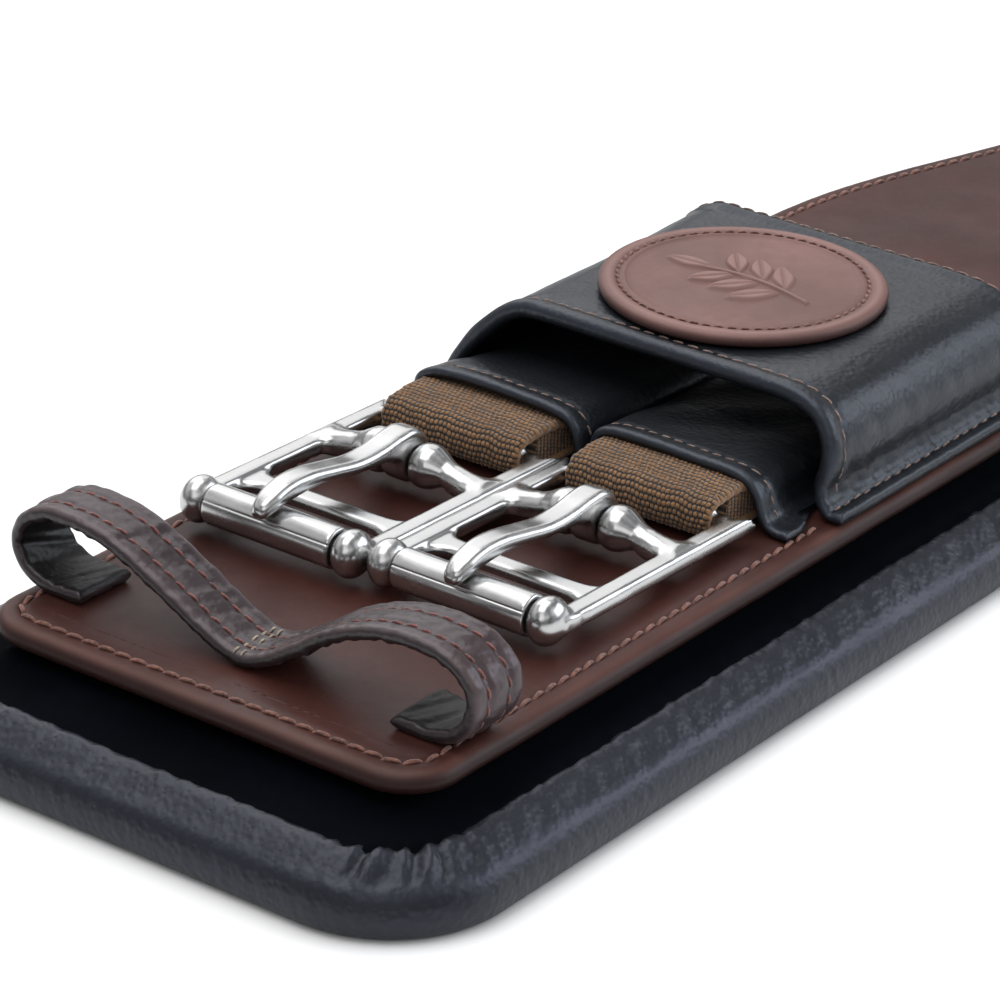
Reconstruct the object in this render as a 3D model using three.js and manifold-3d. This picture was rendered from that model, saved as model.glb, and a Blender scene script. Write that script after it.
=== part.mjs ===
// Saddle girth: padded leather strap with two roller buckles on elastic at each end.
// Millimetres. X runs along the girth, Y across it, Z up from the table.
// One end is laid out in local coordinates: u grows from the rollers towards the middle,
// v runs across and z is the height above the table.
import * as THREE from 'three';
import Module from 'manifold-3d';
import { mergeVertices } from 'three/addons/utils/BufferGeometryUtils.js';

const wasm = await Module();
wasm.setup();

// Driving dimensions
const BUCKLE_TO_BUCKLE = 650;
const HALF_SPAN = BUCKLE_TO_BUCKLE / 2;
const BILLET_WIDTH = 25;
const ROLLER_LENGTH = BILLET_WIDTH + 4.5;

const PANEL_TOP = 21;
const PANEL_THICK = 4.7;
const PANEL_HALF_WIDTH = 50.2;
const PANEL_END = -55.5;
const PANEL_CORNER = 11;
const PAD_OVERHANG_SIDE = 15.5;
const PAD_END = -76;
const PAD_CORNER = 25;
const WAIST_START = 195;
const WAIST_RUN = 120;
const WAIST_DROP = 22.7;

const WEB_HALF_WIDTH = 22;
const WEB_END = -40;
const WEB_BOTTOM = 14.65;
const WEB_TOP = 16.15;

const FRONT_BUCKLE = { place: 'front', u: -3.2, v: 23.4 };
const REAR_BUCKLE = { place: 'rear', u: -1.8, v: -19.3 };
const ROLLER_Z = 26.8;
const ROLLER_RADIUS = 4;
const ROLLER_BORE = 2.35;
const SPINDLE_RADIUS = 2.1;
const KNOB_RADIUS = 4.6;
const KNOB_HALF_WIDTH = 3.3;
const KNOB_INNER = 14.9;
const KNOB_W = 17.9;
const BAR_INNER = 17;
const BAR_OUTER = 21.2;
const BAR_BOTTOM = 24.8;
const BAR_TOP = 28;
const BAR_SLOPE = 0.024;
const BAR_TIP = 59.4;
const CROSS_BAR_U = 14;
const CROSS_BAR_Z = 26.2;
const PIVOT_U = 38;
const PIVOT_Z = 27.3;
const PIVOT_RADIUS = 2;
const TONGUE_BORE = 2.3;
const TONGUE_WIDTH = 6;
const REAR_BAR_U = 55;
const REAR_BAR_Z = 26.2;
const REAR_BAR_RADIUS = 2;
const ELASTIC_INNER = 2.35;
const ELASTIC_OUTER = 4.7;
const ELASTIC_WIDTH = 32.6;
const ELASTIC_TAIL_WIDTH = 28.6;
const ELASTIC_TAIL_START = 67;
const ELASTIC_END = 118;

const COVER_FRONT = 62.5;
const COVER_REAR = 112;
const COVER_HALF_THICK = 1;
const COVER_TRIM_U = 70.5;
const COVER_TRIM_V = 41.6;
const COVER_BASE = PANEL_TOP + 0.1 + COVER_HALF_THICK;

const TUNNEL_FRONT = 73.5;
const TUNNEL_REAR = 149;
const TUNNEL_LEAN = 3.5;
const TUNNEL_HALF_THICK = 1.2;
const TUNNEL_BASE = PANEL_TOP + 0.1 + TUNNEL_HALF_THICK;
const TUNNEL_CREST = 42.4;

const KEEPER_FRONT = -42.5;
const KEEPER_REAR = -28.5;
const KEEPER_HALF_THICK = 1.3;

const PATCH_U = 110;
const PATCH_V = -1;
const PATCH_RADIUS = 28.4;
const PATCH_THICK = 2.7;
const PATCH_BOTTOM = TUNNEL_CREST + TUNNEL_HALF_THICK + 0.15;
const LEAF_COUNT = 5;
const LEAF_HALF = 7;
const LEAF_BULGE = 3.4;
const LEAF_DEPTH = 0.9;

const FINISH = {
  panel: { color: 0x5a342d, roughness: 0.45 },
  liner: { color: 0x2c2c35, roughness: 0.6 },
  foam: { color: 0x8f8f8a, roughness: 0.95 },
  web: { color: 0x2b2b2b, roughness: 0.9 },
  black: { color: 0x24262a, roughness: 0.5 },
  keeper: { color: 0x3e3436, roughness: 0.6 },
  elastic: { color: 0x5e4029, roughness: 0.95 },
  steel: { color: 0xd8d8d6, roughness: 0.18, metalness: 1 },
  patch: { color: 0x63423a, roughness: 0.5 },
};

const group = new THREE.Group();
group.name = 'saddle_girth';

// Mesh and solid helpers

function toSolid(geometry) {
  const bare = geometry.clone();
  bare.deleteAttribute('normal');
  bare.deleteAttribute('uv');
  const merged = mergeVertices(bare, 1e-4);
  return new wasm.Manifold(new wasm.Mesh({
    numProp: 3,
    vertProperties: new Float32Array(merged.attributes.position.array),
    triVerts: new Uint32Array(merged.index.array),
  }));
}

function toGeometry(solid) {
  const mesh = solid.getMesh();
  const geometry = new THREE.BufferGeometry();
  const corners = mesh.numProp;
  const positions = new Float32Array((mesh.vertProperties.length / corners) * 3);
  for (let i = 0; i < positions.length / 3; i += 1) {
    positions[3 * i] = mesh.vertProperties[corners * i];
    positions[3 * i + 1] = mesh.vertProperties[corners * i + 1];
    positions[3 * i + 2] = mesh.vertProperties[corners * i + 2];
  }
  geometry.setAttribute('position', new THREE.BufferAttribute(positions, 3));
  geometry.setIndex(new THREE.BufferAttribute(new Uint32Array(mesh.triVerts), 1));
  return geometry;
}

function welded(geometry) {
  const bare = geometry.clone();
  bare.deleteAttribute('normal');
  bare.deleteAttribute('uv');
  const merged = mergeVertices(bare, 1e-4);
  merged.computeVertexNormals();
  return merged;
}

function addNode(parent, name, geometry, finish) {
  const mesh = new THREE.Mesh(geometry, new THREE.MeshStandardMaterial(finish));
  mesh.name = name;
  parent.add(mesh);
  return mesh;
}

function addGroup(parent, name, u, v) {
  const made = new THREE.Group();
  made.name = name;
  made.position.set(u, v, 0);
  parent.add(made);
  return made;
}

// Skins a stack of closed rings that all have the same number of points, and caps both ends.
function ringLoft(rings, flatten) {
  const count = rings[0].length;
  const positions = rings.flat().flatMap((p) => [p.x, p.y, p.z]);
  const index = [];
  for (let k = 0; k < rings.length - 1; k += 1) {
    for (let i = 0; i < count; i += 1) {
      const j = (i + 1) % count;
      const a = k * count + i;
      const b = k * count + j;
      const c = (k + 1) * count + j;
      const d = (k + 1) * count + i;
      index.push(a, b, c, a, c, d);
    }
  }
  const first = THREE.ShapeUtils.triangulateShape(rings[0].map(flatten), []);
  first.forEach(([a, b, c]) => index.push(a, c, b));
  const top = (rings.length - 1) * count;
  const last = THREE.ShapeUtils.triangulateShape(rings[rings.length - 1].map(flatten), []);
  last.forEach(([a, b, c]) => index.push(top + a, top + b, top + c));
  const geometry = new THREE.BufferGeometry();
  geometry.setAttribute('position', new THREE.Float32BufferAttribute(positions, 3));
  geometry.setIndex(index);
  return geometry;
}

// Closed outline of the strap seen from above, pulled in by inset all round.
function planOutline(endU, halfWidth, corner, inset) {
  const endX = HALF_SPAN - endU;
  const widthAt = (x) => halfWidth - inset - waistDrop(x);
  const quarter = [];
  const flatY = halfWidth - corner;
  quarter.push([endX - inset, 0]);
  quarter.push([endX - inset, flatY * 0.6]);
  const steps = 6;
  for (let i = 0; i <= steps; i += 1) {
    const t = (i / steps) * (Math.PI / 2);
    const reach = corner - inset;
    quarter.push([
      endX - corner + reach * Math.cos(t),
      halfWidth - corner + reach * Math.sin(t),
    ]);
  }
  const straightEnd = HALF_SPAN - WAIST_START;
  quarter.push([(endX - corner + straightEnd) / 2, widthAt(endX)]);
  for (let i = 0; i <= 7; i += 1) {
    const x = straightEnd - (WAIST_RUN * i) / 7;
    quarter.push([x, widthAt(x)]);
  }
  const mirrored = (sx, sy) => quarter.map(([x, y]) => new THREE.Vector2(sx * x, sy * y));
  const q1 = mirrored(1, 1);
  const q2 = mirrored(-1, 1).reverse();
  const q3 = mirrored(-1, -1).slice(1);
  const q4 = mirrored(1, -1).reverse().slice(0, -1);
  return [...q1, ...q2, ...q3, ...q4];
}

function waistDrop(x) {
  const u = HALF_SPAN - Math.abs(x);
  const t = Math.min(Math.max((u - WAIST_START) / WAIST_RUN, 0), 1);
  return (WAIST_DROP * (1 - Math.cos(Math.PI * t))) / 2;
}

// Stacks the plan outline through a list of [inset, height] steps.
function planLoft(endU, halfWidth, corner, steps) {
  const rings = steps.map(([inset, z]) => planOutline(endU, halfWidth, corner, inset)
    .map((p) => new THREE.Vector3(p.x, p.y, z)));
  return ringLoft(rings, (p) => new THREE.Vector2(p.x, p.y));
}

function smoothPath(points, samples) {
  const curve = new THREE.CatmullRomCurve3(
    points.map(([v, z]) => new THREE.Vector3(0, v, z)),
    false,
    'centripetal',
  );
  return curve.getSpacedPoints(samples).map((p) => [p.y, p.z]);
}

// A leather strip that follows a path in the v-z plane; sections run along u.
// Each section is {u, thick, lean, rise, spread}: lean pushes high points along u, rise scales
// height and spread scales width.
function stripLoft(path, halfThick, base, sections) {
  const rings = sections.map((section) => {
    const line = path.map(([v, z]) => [
      v * (section.spread ?? 1),
      base + (z - base) * (section.rise ?? 1),
    ]);
    const outer = [];
    const inner = [];
    line.forEach(([v, z], i) => {
      const before = line[Math.max(i - 1, 0)];
      const after = line[Math.min(i + 1, line.length - 1)];
      const dv = after[0] - before[0];
      const dz = after[1] - before[1];
      const size = Math.hypot(dv, dz);
      const lift = THREE.MathUtils.smoothstep(z, base + 2, base + 8);
      const half = halfThick * (section.thick + (section.bead ?? 0) * lift);
      const u = section.u + (section.lean ?? 0) * Math.min(Math.max((z - base) / 20, 0), 1);
      outer.push(new THREE.Vector3(u, v + (dz / size) * half, z - (dv / size) * half));
      inner.push(new THREE.Vector3(u, v - (dz / size) * half, z + (dv / size) * half));
    });
    return [...outer, ...inner.reverse()];
  });
  return ringLoft(rings, (p) => new THREE.Vector2(p.y, p.z));
}

// Extrudes an outline drawn in the u-z plane to a given width, centred on v = 0.
function sideExtrude(outline, holes, width, bevel) {
  const shape = new THREE.Shape(outline.map(([u, z]) => new THREE.Vector2(u, z)));
  holes.forEach((hole) => {
    shape.holes.push(new THREE.Path(hole.map(([u, z]) => new THREE.Vector2(u, z))));
  });
  const geometry = new THREE.ExtrudeGeometry(shape, {
    depth: width - 2 * bevel,
    bevelEnabled: bevel > 0,
    bevelThickness: bevel,
    bevelSize: bevel,
    bevelOffset: -bevel,
    bevelSegments: 1,
    curveSegments: 1,
  });
  geometry.rotateX(Math.PI / 2);
  geometry.translate(0, (width - 2 * bevel) / 2, 0);
  return geometry;
}

function circlePoints(u, z, radius, count, from = 0, to = 2 * Math.PI) {
  const closed = Math.abs(to - from - 2 * Math.PI) < 1e-9;
  const points = [];
  for (let i = 0; i < (closed ? count : count + 1); i += 1) {
    const t = from + ((to - from) * i) / count;
    points.push([u + radius * Math.cos(t), z + radius * Math.sin(t)]);
  }
  return points;
}

// A turned shape about an axis parallel to v; profile is a list of [radius, v].
function turned(profile, u, z, segments) {
  const geometry = new THREE.LatheGeometry(profile.map(([r, v]) => new THREE.Vector2(r, v)), segments);
  geometry.translate(u, 0, z);
  return geometry;
}

// Strap pieces that run the whole length

function linerCover() {
  const skin = [
    [2.2, 0], [0.6, 0.7], [0, 3.6], [0.7, 7.6], [2, 9], [8.6, 13], [11.5, 12], [16, 12.4],
    [22, 14.5], [22, 13], [17, 11], [11.5, 10.6], [8.6, 11], [3.2, 7.7], [1.9, 4.6], [3, 1.6],
  ];
  return planLoft(PAD_END, PANEL_HALF_WIDTH + PAD_OVERHANG_SIDE, PAD_CORNER, skin);
}

function foamCore() {
  const steps = [
    [3.6, 1.9], [2.3, 4.6], [3.7, 7.5], [8.6, 10.6], [11.5, 10.2], [17, 10.6], [22.4, 12.6],
    [22.4, 14.3],
  ];
  return planLoft(PAD_END, PANEL_HALF_WIDTH + PAD_OVERHANG_SIDE, PAD_CORNER, steps);
}

function topPanel() {
  const half = PANEL_THICK / 2;
  const mid = PANEL_TOP - half;
  const steps = [];
  for (let i = 0; i <= 5; i += 1) {
    const t = -Math.PI / 2 + (Math.PI * i) / 5;
    steps.push([half * (1 - Math.cos(t)) * 0.9, mid + half * Math.sin(t)]);
  }
  return planLoft(PANEL_END, PANEL_HALF_WIDTH, PANEL_CORNER, steps);
}

function reinforcingWeb() {
  const length = 2 * (HALF_SPAN - WEB_END);
  return welded(new THREE.BoxGeometry(length, 2 * WEB_HALF_WIDTH, WEB_TOP - WEB_BOTTOM));
}

// Leather pieces of one end

function roundedSections(front, rear, extra) {
  return [
    { u: front, thick: 0.6, ...extra },
    { u: front + 0.7, thick: 1, ...extra },
    { u: rear - 0.7, thick: 1, ...extra },
    { u: rear, thick: 0.6, ...extra },
  ];
}

function keeperStrap() {
  const path = smoothPath([
    [-34, 22.5], [-43, 22.55], [-47.6, 24.4], [-50.3, 28.6], [-50, 33.4], [-45.5, 37.2],
    [-38, 38.4], [-29, 37.2], [-20, 33.5], [-12, 28], [-5, 23.8], [0, 22.55],
    [6, 24.3], [17, 29.8], [30, 35.6], [38, 36.9], [45, 36.4], [50.2, 33],
    [51.4, 28.5], [49, 24.4], [44.5, 22.55], [36, 22.5],
  ], 38);
  return stripLoft(path, KEEPER_HALF_THICK, 22.4, roundedSections(KEEPER_FRONT, KEEPER_REAR));
}

function billetTunnel() {
  const path = smoothPath([
    [-49.3, TUNNEL_BASE], [-46, TUNNEL_BASE], [-44.2, 23.6], [-43.2, 26.4], [-43.9, 31],
    [-43.2, 35.5], [-40.2, 39.8], [-35.4, 41.8], [-30.5, TUNNEL_CREST], [-15, TUNNEL_CREST],
    [0, TUNNEL_CREST], [24, TUNNEL_CREST], [28.2, 42.1], [32.4, 40.2], [37.4, 35.4],
    [41.6, 30], [43.5, 26], [44.3, 23.7], [46, TUNNEL_BASE], [49.3, TUNNEL_BASE],
  ], 38);
  const sections = [
    { u: TUNNEL_FRONT, thick: 0.8, lean: TUNNEL_LEAN },
    { u: TUNNEL_FRONT + 1, thick: 1, bead: 0.35, lean: TUNNEL_LEAN },
    { u: TUNNEL_FRONT + 4, thick: 1, lean: TUNNEL_LEAN * 0.9 },
    { u: TUNNEL_REAR - 4, thick: 1, lean: -TUNNEL_LEAN * 0.4 },
    { u: TUNNEL_REAR - 1, thick: 1, bead: 0.35, lean: -TUNNEL_LEAN * 0.5 },
    { u: TUNNEL_REAR, thick: 0.8, lean: -TUNNEL_LEAN * 0.5 },
  ];
  return stripLoft(path, TUNNEL_HALF_THICK, TUNNEL_BASE, sections);
}

function elasticCover() {
  const path = smoothPath([
    [-45.5, COVER_BASE], [-42.5, COVER_BASE], [-40.2, 23.3], [-38.9, 25.8], [-38.1, 28.2],
    [-36.2, 30.4], [-33, 31.4], [-24, 31.7], [-15, 31.9], [-8.5, 31.8], [-5, 31.5], [-2.6, 30.7],
    [-1.4, 29], [-1.1, 26], [-0.5, 23.5], [0.8, COVER_BASE], [2, 23.4], [2.7, 26], [3.5, 28.9],
    [5.4, 31.1], [9, 32], [16, 32.4], [26, 32.6], [33, 32.3], [37.7, 31.5], [40.6, 29.6],
    [41.3, 26.4], [41.9, 23.6], [43.4, COVER_BASE], [45.5, COVER_BASE],
  ], 56);
  const sections = [
    { u: COVER_FRONT, thick: 0.8, rise: 1 },
    { u: COVER_FRONT + 1, thick: 1, bead: 0.25, rise: 1 },
    { u: COVER_FRONT + 3, thick: 1, rise: 0.98 },
    { u: 70.4, thick: 1, rise: 0.93, spread: 0.975 },
    { u: 73.3, thick: 1, rise: 0.9, spread: 0.955 },
    { u: 84, thick: 1, rise: 0.78, spread: 0.955 },
    { u: COVER_REAR, thick: 1, rise: 0.68, spread: 0.955 },
  ];
  return stripLoft(path, COVER_HALF_THICK, COVER_BASE, sections);
}

// Trims the cover's side flanges where they tuck in behind the tunnel walls.
function trimmedCover() {
  const cutter = new THREE.BoxGeometry(COVER_REAR, 12, 10);
  const cuts = [-1, 1].map((side) => {
    const block = cutter.clone();
    block.translate(COVER_TRIM_U + COVER_REAR / 2, side * (COVER_TRIM_V + 6), PANEL_TOP + 2);
    return toSolid(block);
  });
  const solid = cuts.reduce((body, cut) => body.subtract(cut), toSolid(elasticCover()));
  return toGeometry(solid);
}

// Round patch with a rolled rim and a plain raised sprig of leaves.
function tunnelPatch() {
  const top = PATCH_THICK;
  const disc = new THREE.LatheGeometry([
    new THREE.Vector2(0, 0),
    new THREE.Vector2(PATCH_RADIUS - 0.4, 0),
    new THREE.Vector2(PATCH_RADIUS, 0.5),
    new THREE.Vector2(PATCH_RADIUS, top - 0.9),
    new THREE.Vector2(PATCH_RADIUS - 0.9, top - 0.1),
    new THREE.Vector2(PATCH_RADIUS - 2.4, top),
    new THREE.Vector2(PATCH_RADIUS - 3.6, top - 0.35),
    new THREE.Vector2(0, top - 0.35),
  ], 32);
  disc.rotateX(Math.PI / 2);
  let body = toSolid(disc);
  const leaf = new THREE.Shape();
  leaf.moveTo(0, -LEAF_HALF);
  leaf.quadraticCurveTo(LEAF_BULGE, 0, 0, LEAF_HALF);
  leaf.quadraticCurveTo(-LEAF_BULGE, 0, 0, -LEAF_HALF);
  const settings = { depth: LEAF_DEPTH, bevelEnabled: false, curveSegments: 3 };
  for (let i = 0; i < LEAF_COUNT; i += 1) {
    const angle = THREE.MathUtils.degToRad(35 * i - 70);
    const blade = new THREE.ExtrudeGeometry(leaf, settings);
    blade.rotateZ(-angle);
    blade.translate(6 * Math.sin(angle), 12 * Math.cos(angle) - 6, top - LEAF_DEPTH - 0.1);
    body = body.add(toSolid(blade));
  }
  return toGeometry(body);
}

// Buckle pieces, centred on v = 0

function elasticStrap() {
  const bottom = PANEL_TOP + 0.3;
  const wrap = circlePoints(REAR_BAR_U, REAR_BAR_Z, ELASTIC_OUTER, 14, 1.5 * Math.PI, 0.5 * Math.PI);
  const outline = [
    [ELASTIC_END, bottom],
    [ELASTIC_END, bottom + 4],
    [84, bottom + 4.2],
    [72, bottom + 5.3],
    [65, bottom + 7.4],
    [60, bottom + 8.8],
    ...wrap.slice().reverse(),
    [62, bottom],
  ];
  const loop = [
    ...circlePoints(REAR_BAR_U, REAR_BAR_Z, ELASTIC_INNER, 12, 0.5 * Math.PI, 1.5 * Math.PI),
    [60, REAR_BAR_Z - 2.3],
    [66, REAR_BAR_Z - 1.6],
    [60, REAR_BAR_Z + 1.9],
  ];
  const geometry = sideExtrude(outline, [loop], ELASTIC_WIDTH, 0);
  const points = geometry.attributes.position;
  for (let i = 0; i < points.count; i += 1) {
    if (points.getX(i) > ELASTIC_TAIL_START) {
      points.setY(i, (points.getY(i) * ELASTIC_TAIL_WIDTH) / ELASTIC_WIDTH);
    }
  }
  return geometry;
}

function tongue() {
  const control = [
    [-5.4, 30.2], [-3.6, 30.3], [-1, 31.25], [3, 31.7], [8, 32], [14, 31.3], [19, 30.3],
    [25, 29.8], [30, 29.4], [32.8, 28.3], [33.6, 26], [35.4, 23.7], [38, 22.8], [40.9, 23.8],
    [42.6, 26.6], [42.3, 29.7], [40.4, 32.6], [37.3, 33.9], [33.5, 33.8], [28, 33], [22, 32.9],
    [15, 34.1], [8, 35.3], [2, 35.4], [-2.4, 34.2], [-5.2, 32.4],
  ];
  const curve = new THREE.CatmullRomCurve3(
    control.map(([u, z]) => new THREE.Vector3(u, z, 0)),
    true,
    'centripetal',
  );
  const outline = curve.getSpacedPoints(36).slice(0, -1).map((p) => [p.x, p.y]);
  const bore = circlePoints(PIVOT_U, PIVOT_Z, TONGUE_BORE, 12);
  return sideExtrude(outline, [bore], TONGUE_WIDTH, 0.8);
}

function roller() {
  const half = ROLLER_LENGTH / 2;
  return turned([
    [ROLLER_BORE, -half], [ROLLER_RADIUS - 0.5, -half], [ROLLER_RADIUS, -half + 0.5],
    [ROLLER_RADIUS, half - 0.5], [ROLLER_RADIUS - 0.5, half], [ROLLER_BORE, half],
    [ROLLER_BORE, -half],
  ], 0, 0, 16);
}

function sideBar(side) {
  const plan = new THREE.Shape([
    new THREE.Vector2(0.6, BAR_INNER),
    new THREE.Vector2(0.6, BAR_OUTER - 0.4),
    new THREE.Vector2(4, BAR_OUTER),
    new THREE.Vector2(BAR_TIP - 1, BAR_OUTER),
    new THREE.Vector2(BAR_TIP, BAR_OUTER - 1.4),
    new THREE.Vector2(BAR_TIP - 5.5, BAR_INNER),
  ]);
  const geometry = new THREE.ExtrudeGeometry(plan, {
    depth: BAR_TOP - BAR_BOTTOM - 1.6,
    bevelEnabled: true,
    bevelThickness: 0.8,
    bevelSize: 0.8,
    bevelOffset: -0.8,
    bevelSegments: 2,
  });
  geometry.translate(0, 0, BAR_BOTTOM + 0.8);
  const slope = new THREE.Matrix4().set(1, 0, 0, 0, 0, 1, 0, 0, -BAR_SLOPE, 0, 1, 0, 0, 0, 0, 1);
  geometry.applyMatrix4(slope);
  const solid = toSolid(geometry);
  return side > 0 ? solid : solid.mirror([0, 1, 0]);
}

function knob(side) {
  const ball = new THREE.SphereGeometry(KNOB_RADIUS, 12, 8);
  ball.scale(1, KNOB_HALF_WIDTH / KNOB_RADIUS, 1);
  ball.translate(0, side * KNOB_W, ROLLER_Z);
  const trim = new THREE.BoxGeometry(12, 10, 12);
  trim.translate(0, side * (KNOB_INNER - 5), ROLLER_Z);
  return toSolid(ball).subtract(toSolid(trim));
}

function pivotSide(side) {
  const inner = TONGUE_WIDTH / 2 + 0.35;
  const profile = [
    [0, inner], [3.4, inner], [4.3, inner + 1.3], [4.6, inner + 2.8], [4.1, inner + 4.5],
    [3.1, inner + 6], [2.5, inner + 7.8], [2.4, inner + 10], [2.7, inner + 12],
    [3.4, BAR_INNER + 0.8], [0, BAR_INNER + 0.8],
  ];
  const geometry = turned(profile, 0, 0, 10);
  geometry.scale(1, 1, 0.92);
  geometry.translate(PIVOT_U, 0, PIVOT_Z - 0.3);
  const solid = toSolid(geometry);
  return side > 0 ? solid : solid.mirror([0, 1, 0]);
}

function crossBar() {
  const reach = BAR_INNER + 0.8;
  const profile = [
    [0, -reach], [4.2, -reach], [3.1, -reach + 2.6], [2.6, -reach + 6], [2.5, 0],
    [2.6, reach - 6], [3.1, reach - 2.6], [4.2, reach], [0, reach],
  ];
  const geometry = turned(profile, 0, 0, 10);
  geometry.scale(1, 1, 0.86);
  geometry.translate(CROSS_BAR_U, 0, CROSS_BAR_Z);
  return toSolid(geometry);
}

function rod(u, z, radius, reach, segments) {
  return toSolid(turned([[0, -reach], [radius, -reach], [radius, reach], [0, reach]], u, z, segments));
}

function buckleFrame() {
  const parts = [
    sideBar(1),
    sideBar(-1),
    knob(1),
    knob(-1),
    crossBar(),
    pivotSide(1),
    pivotSide(-1),
    rod(PIVOT_U, PIVOT_Z, PIVOT_RADIUS, 5, 12),
    rod(0, ROLLER_Z, SPINDLE_RADIUS, BAR_INNER, 12),
    rod(REAR_BAR_U, REAR_BAR_Z, REAR_BAR_RADIUS, BAR_INNER + 1, 12),
  ];
  return toGeometry(parts.reduce((body, part) => body.add(part)));
}

addNode(group, 'liner_cover', welded(linerCover()), FINISH.liner);
addNode(group, 'foam_core', welded(foamCore()), FINISH.foam);
const web = addNode(group, 'reinforcing_web', reinforcingWeb(), FINISH.web);
web.position.z = (WEB_TOP + WEB_BOTTOM) / 2;
addNode(group, 'top_panel', welded(topPanel()), FINISH.panel);

const keeper = welded(keeperStrap());
const tunnel = welded(billetTunnel());
const cover = welded(trimmedCover());
const patch = welded(tunnelPatch());
const elastic = welded(elasticStrap());
const frame = welded(buckleFrame());
const rollerTube = welded(roller());
const prong = welded(tongue());

const ENDS = [
  { end: 'nearside', x: -HALF_SPAN, turn: 0 },
  { end: 'offside', x: HALF_SPAN, turn: Math.PI },
];

ENDS.forEach(({ end, x, turn }) => {
  const side = addGroup(group, `${end}_end`, x, 0);
  side.rotation.z = turn;
  addNode(side, `${end}_keeper_strap`, keeper, FINISH.keeper);
  addNode(side, `${end}_elastic_cover`, cover, FINISH.black);
  addNode(side, `${end}_billet_tunnel`, tunnel, FINISH.black);
  addNode(side, `${end}_tunnel_patch`, patch, FINISH.patch).position.set(PATCH_U, PATCH_V, PATCH_BOTTOM);
  [FRONT_BUCKLE, REAR_BUCKLE].forEach(({ place, u, v }) => {
    const stem = `${end}_${place}`;
    const station = addGroup(side, `${stem}_station`, u, v);
    addNode(station, `${stem}_elastic`, elastic, FINISH.elastic);
    addNode(station, `${stem}_buckle_frame`, frame, FINISH.steel);
    addNode(station, `${stem}_roller`, rollerTube, FINISH.steel).position.z = ROLLER_Z;
    addNode(station, `${stem}_tongue`, prong, FINISH.steel);
  });
});

export default group;
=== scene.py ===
"""Looks of the saddle girth: leather, elastic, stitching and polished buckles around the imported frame."""

import itertools
import math

import bmesh
import bpy
import numpy as np
from mathutils import Matrix, Vector


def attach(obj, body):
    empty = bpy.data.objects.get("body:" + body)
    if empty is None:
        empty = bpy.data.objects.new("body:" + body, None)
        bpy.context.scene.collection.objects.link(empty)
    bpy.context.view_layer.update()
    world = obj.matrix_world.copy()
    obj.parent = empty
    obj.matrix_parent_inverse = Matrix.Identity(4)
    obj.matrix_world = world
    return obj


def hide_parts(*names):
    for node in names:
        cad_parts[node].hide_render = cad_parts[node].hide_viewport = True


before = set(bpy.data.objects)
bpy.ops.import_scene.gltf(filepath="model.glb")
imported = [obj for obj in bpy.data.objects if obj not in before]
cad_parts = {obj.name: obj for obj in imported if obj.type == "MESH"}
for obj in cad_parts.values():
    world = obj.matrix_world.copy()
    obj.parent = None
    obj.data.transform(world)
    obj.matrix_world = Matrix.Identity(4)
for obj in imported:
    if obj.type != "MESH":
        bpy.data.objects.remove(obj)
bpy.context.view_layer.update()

MM = 0.001
HALF_SPAN = 325.0
ENDS = ("nearside", "offside")

# ---------------------------------------------------------------- places, in millimetres at one end
# u runs from the rollers towards the middle of the girth, v across it and z up from the table.
PANEL_END = -55.5
PANEL_HALF = 50.2
PANEL_CORNER = 11.0
PAD_END = -76.0
PAD_HALF = 65.7
PAD_CORNER = 25.0
WAIST_START = 195.0
WAIST_RUN = 120.0
WAIST_DROP = 22.7
ROLLER_Z = 26.8
PIVOT_U, PIVOT_Z = 38.0, 27.3
REAR_BAR_U, REAR_BAR_Z = 55.0, 26.2
BUCKLES = (("front", 23.4, -3.2), ("rear", -19.3, -1.8))
PATCH_U, PATCH_V, PATCH_BOTTOM = 110.0, -1.0, 43.75
TUNNEL_BASE, TUNNEL_CREST = 22.3, 42.4
TUNNEL_FRONT, TUNNEL_REAR = 73.5, 149.0
COVER_BASE = 22.1
COVER_FRONT, COVER_REAR = 60.9, 112.0
KEEPER_FRONT, KEEPER_REAR = -42.5, -28.5

# ---------------------------------------------------------------- seams and sizes, in millimetres
# A seam is given by its distance from the edge of its piece, and the round patch's by its radius.
PANEL_SEAM = 4.65
KEEPER_SEAMS = (4.1, 9.9)
TUNNEL_SEAMS = (5.2, 69.0)
TUNNEL_FOOT_SEAM = 3.1
COVER_SEAM = 4.2
PATCH_SEAM_RADIUS = 24.6
PATCH_THICK = 2.7


# ---------------------------------------------------------------- mesh helpers

def smoothstep(x, low, high):
    t = np.clip((np.asarray(x, float) - low) / (high - low), 0.0, 1.0)
    return t * t * (3.0 - 2.0 * t)


def bump_at(x, centre, width):
    """A bell of height 1 at centre."""
    return np.exp(-(((np.asarray(x, float) - centre) / width) ** 2))


def ripple(x, seed, waves, shortest, longest):
    """Smooth seeded noise along x, about -1 to 1, from a sum of sines."""
    rng = np.random.default_rng(seed)
    x = np.asarray(x, float)
    total = np.zeros_like(x)
    for _ in range(waves):
        length = rng.uniform(shortest, longest)
        total += np.sin(2 * math.pi * x / length + rng.uniform(0, 2 * math.pi))
    return total / math.sqrt(waves) * 0.8


def between(t, ta, tb, a, b):
    """The straight mix that is a at ta and b at tb."""
    return ((tb - t) * a + (t - ta) * b) / (tb - ta)


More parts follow.
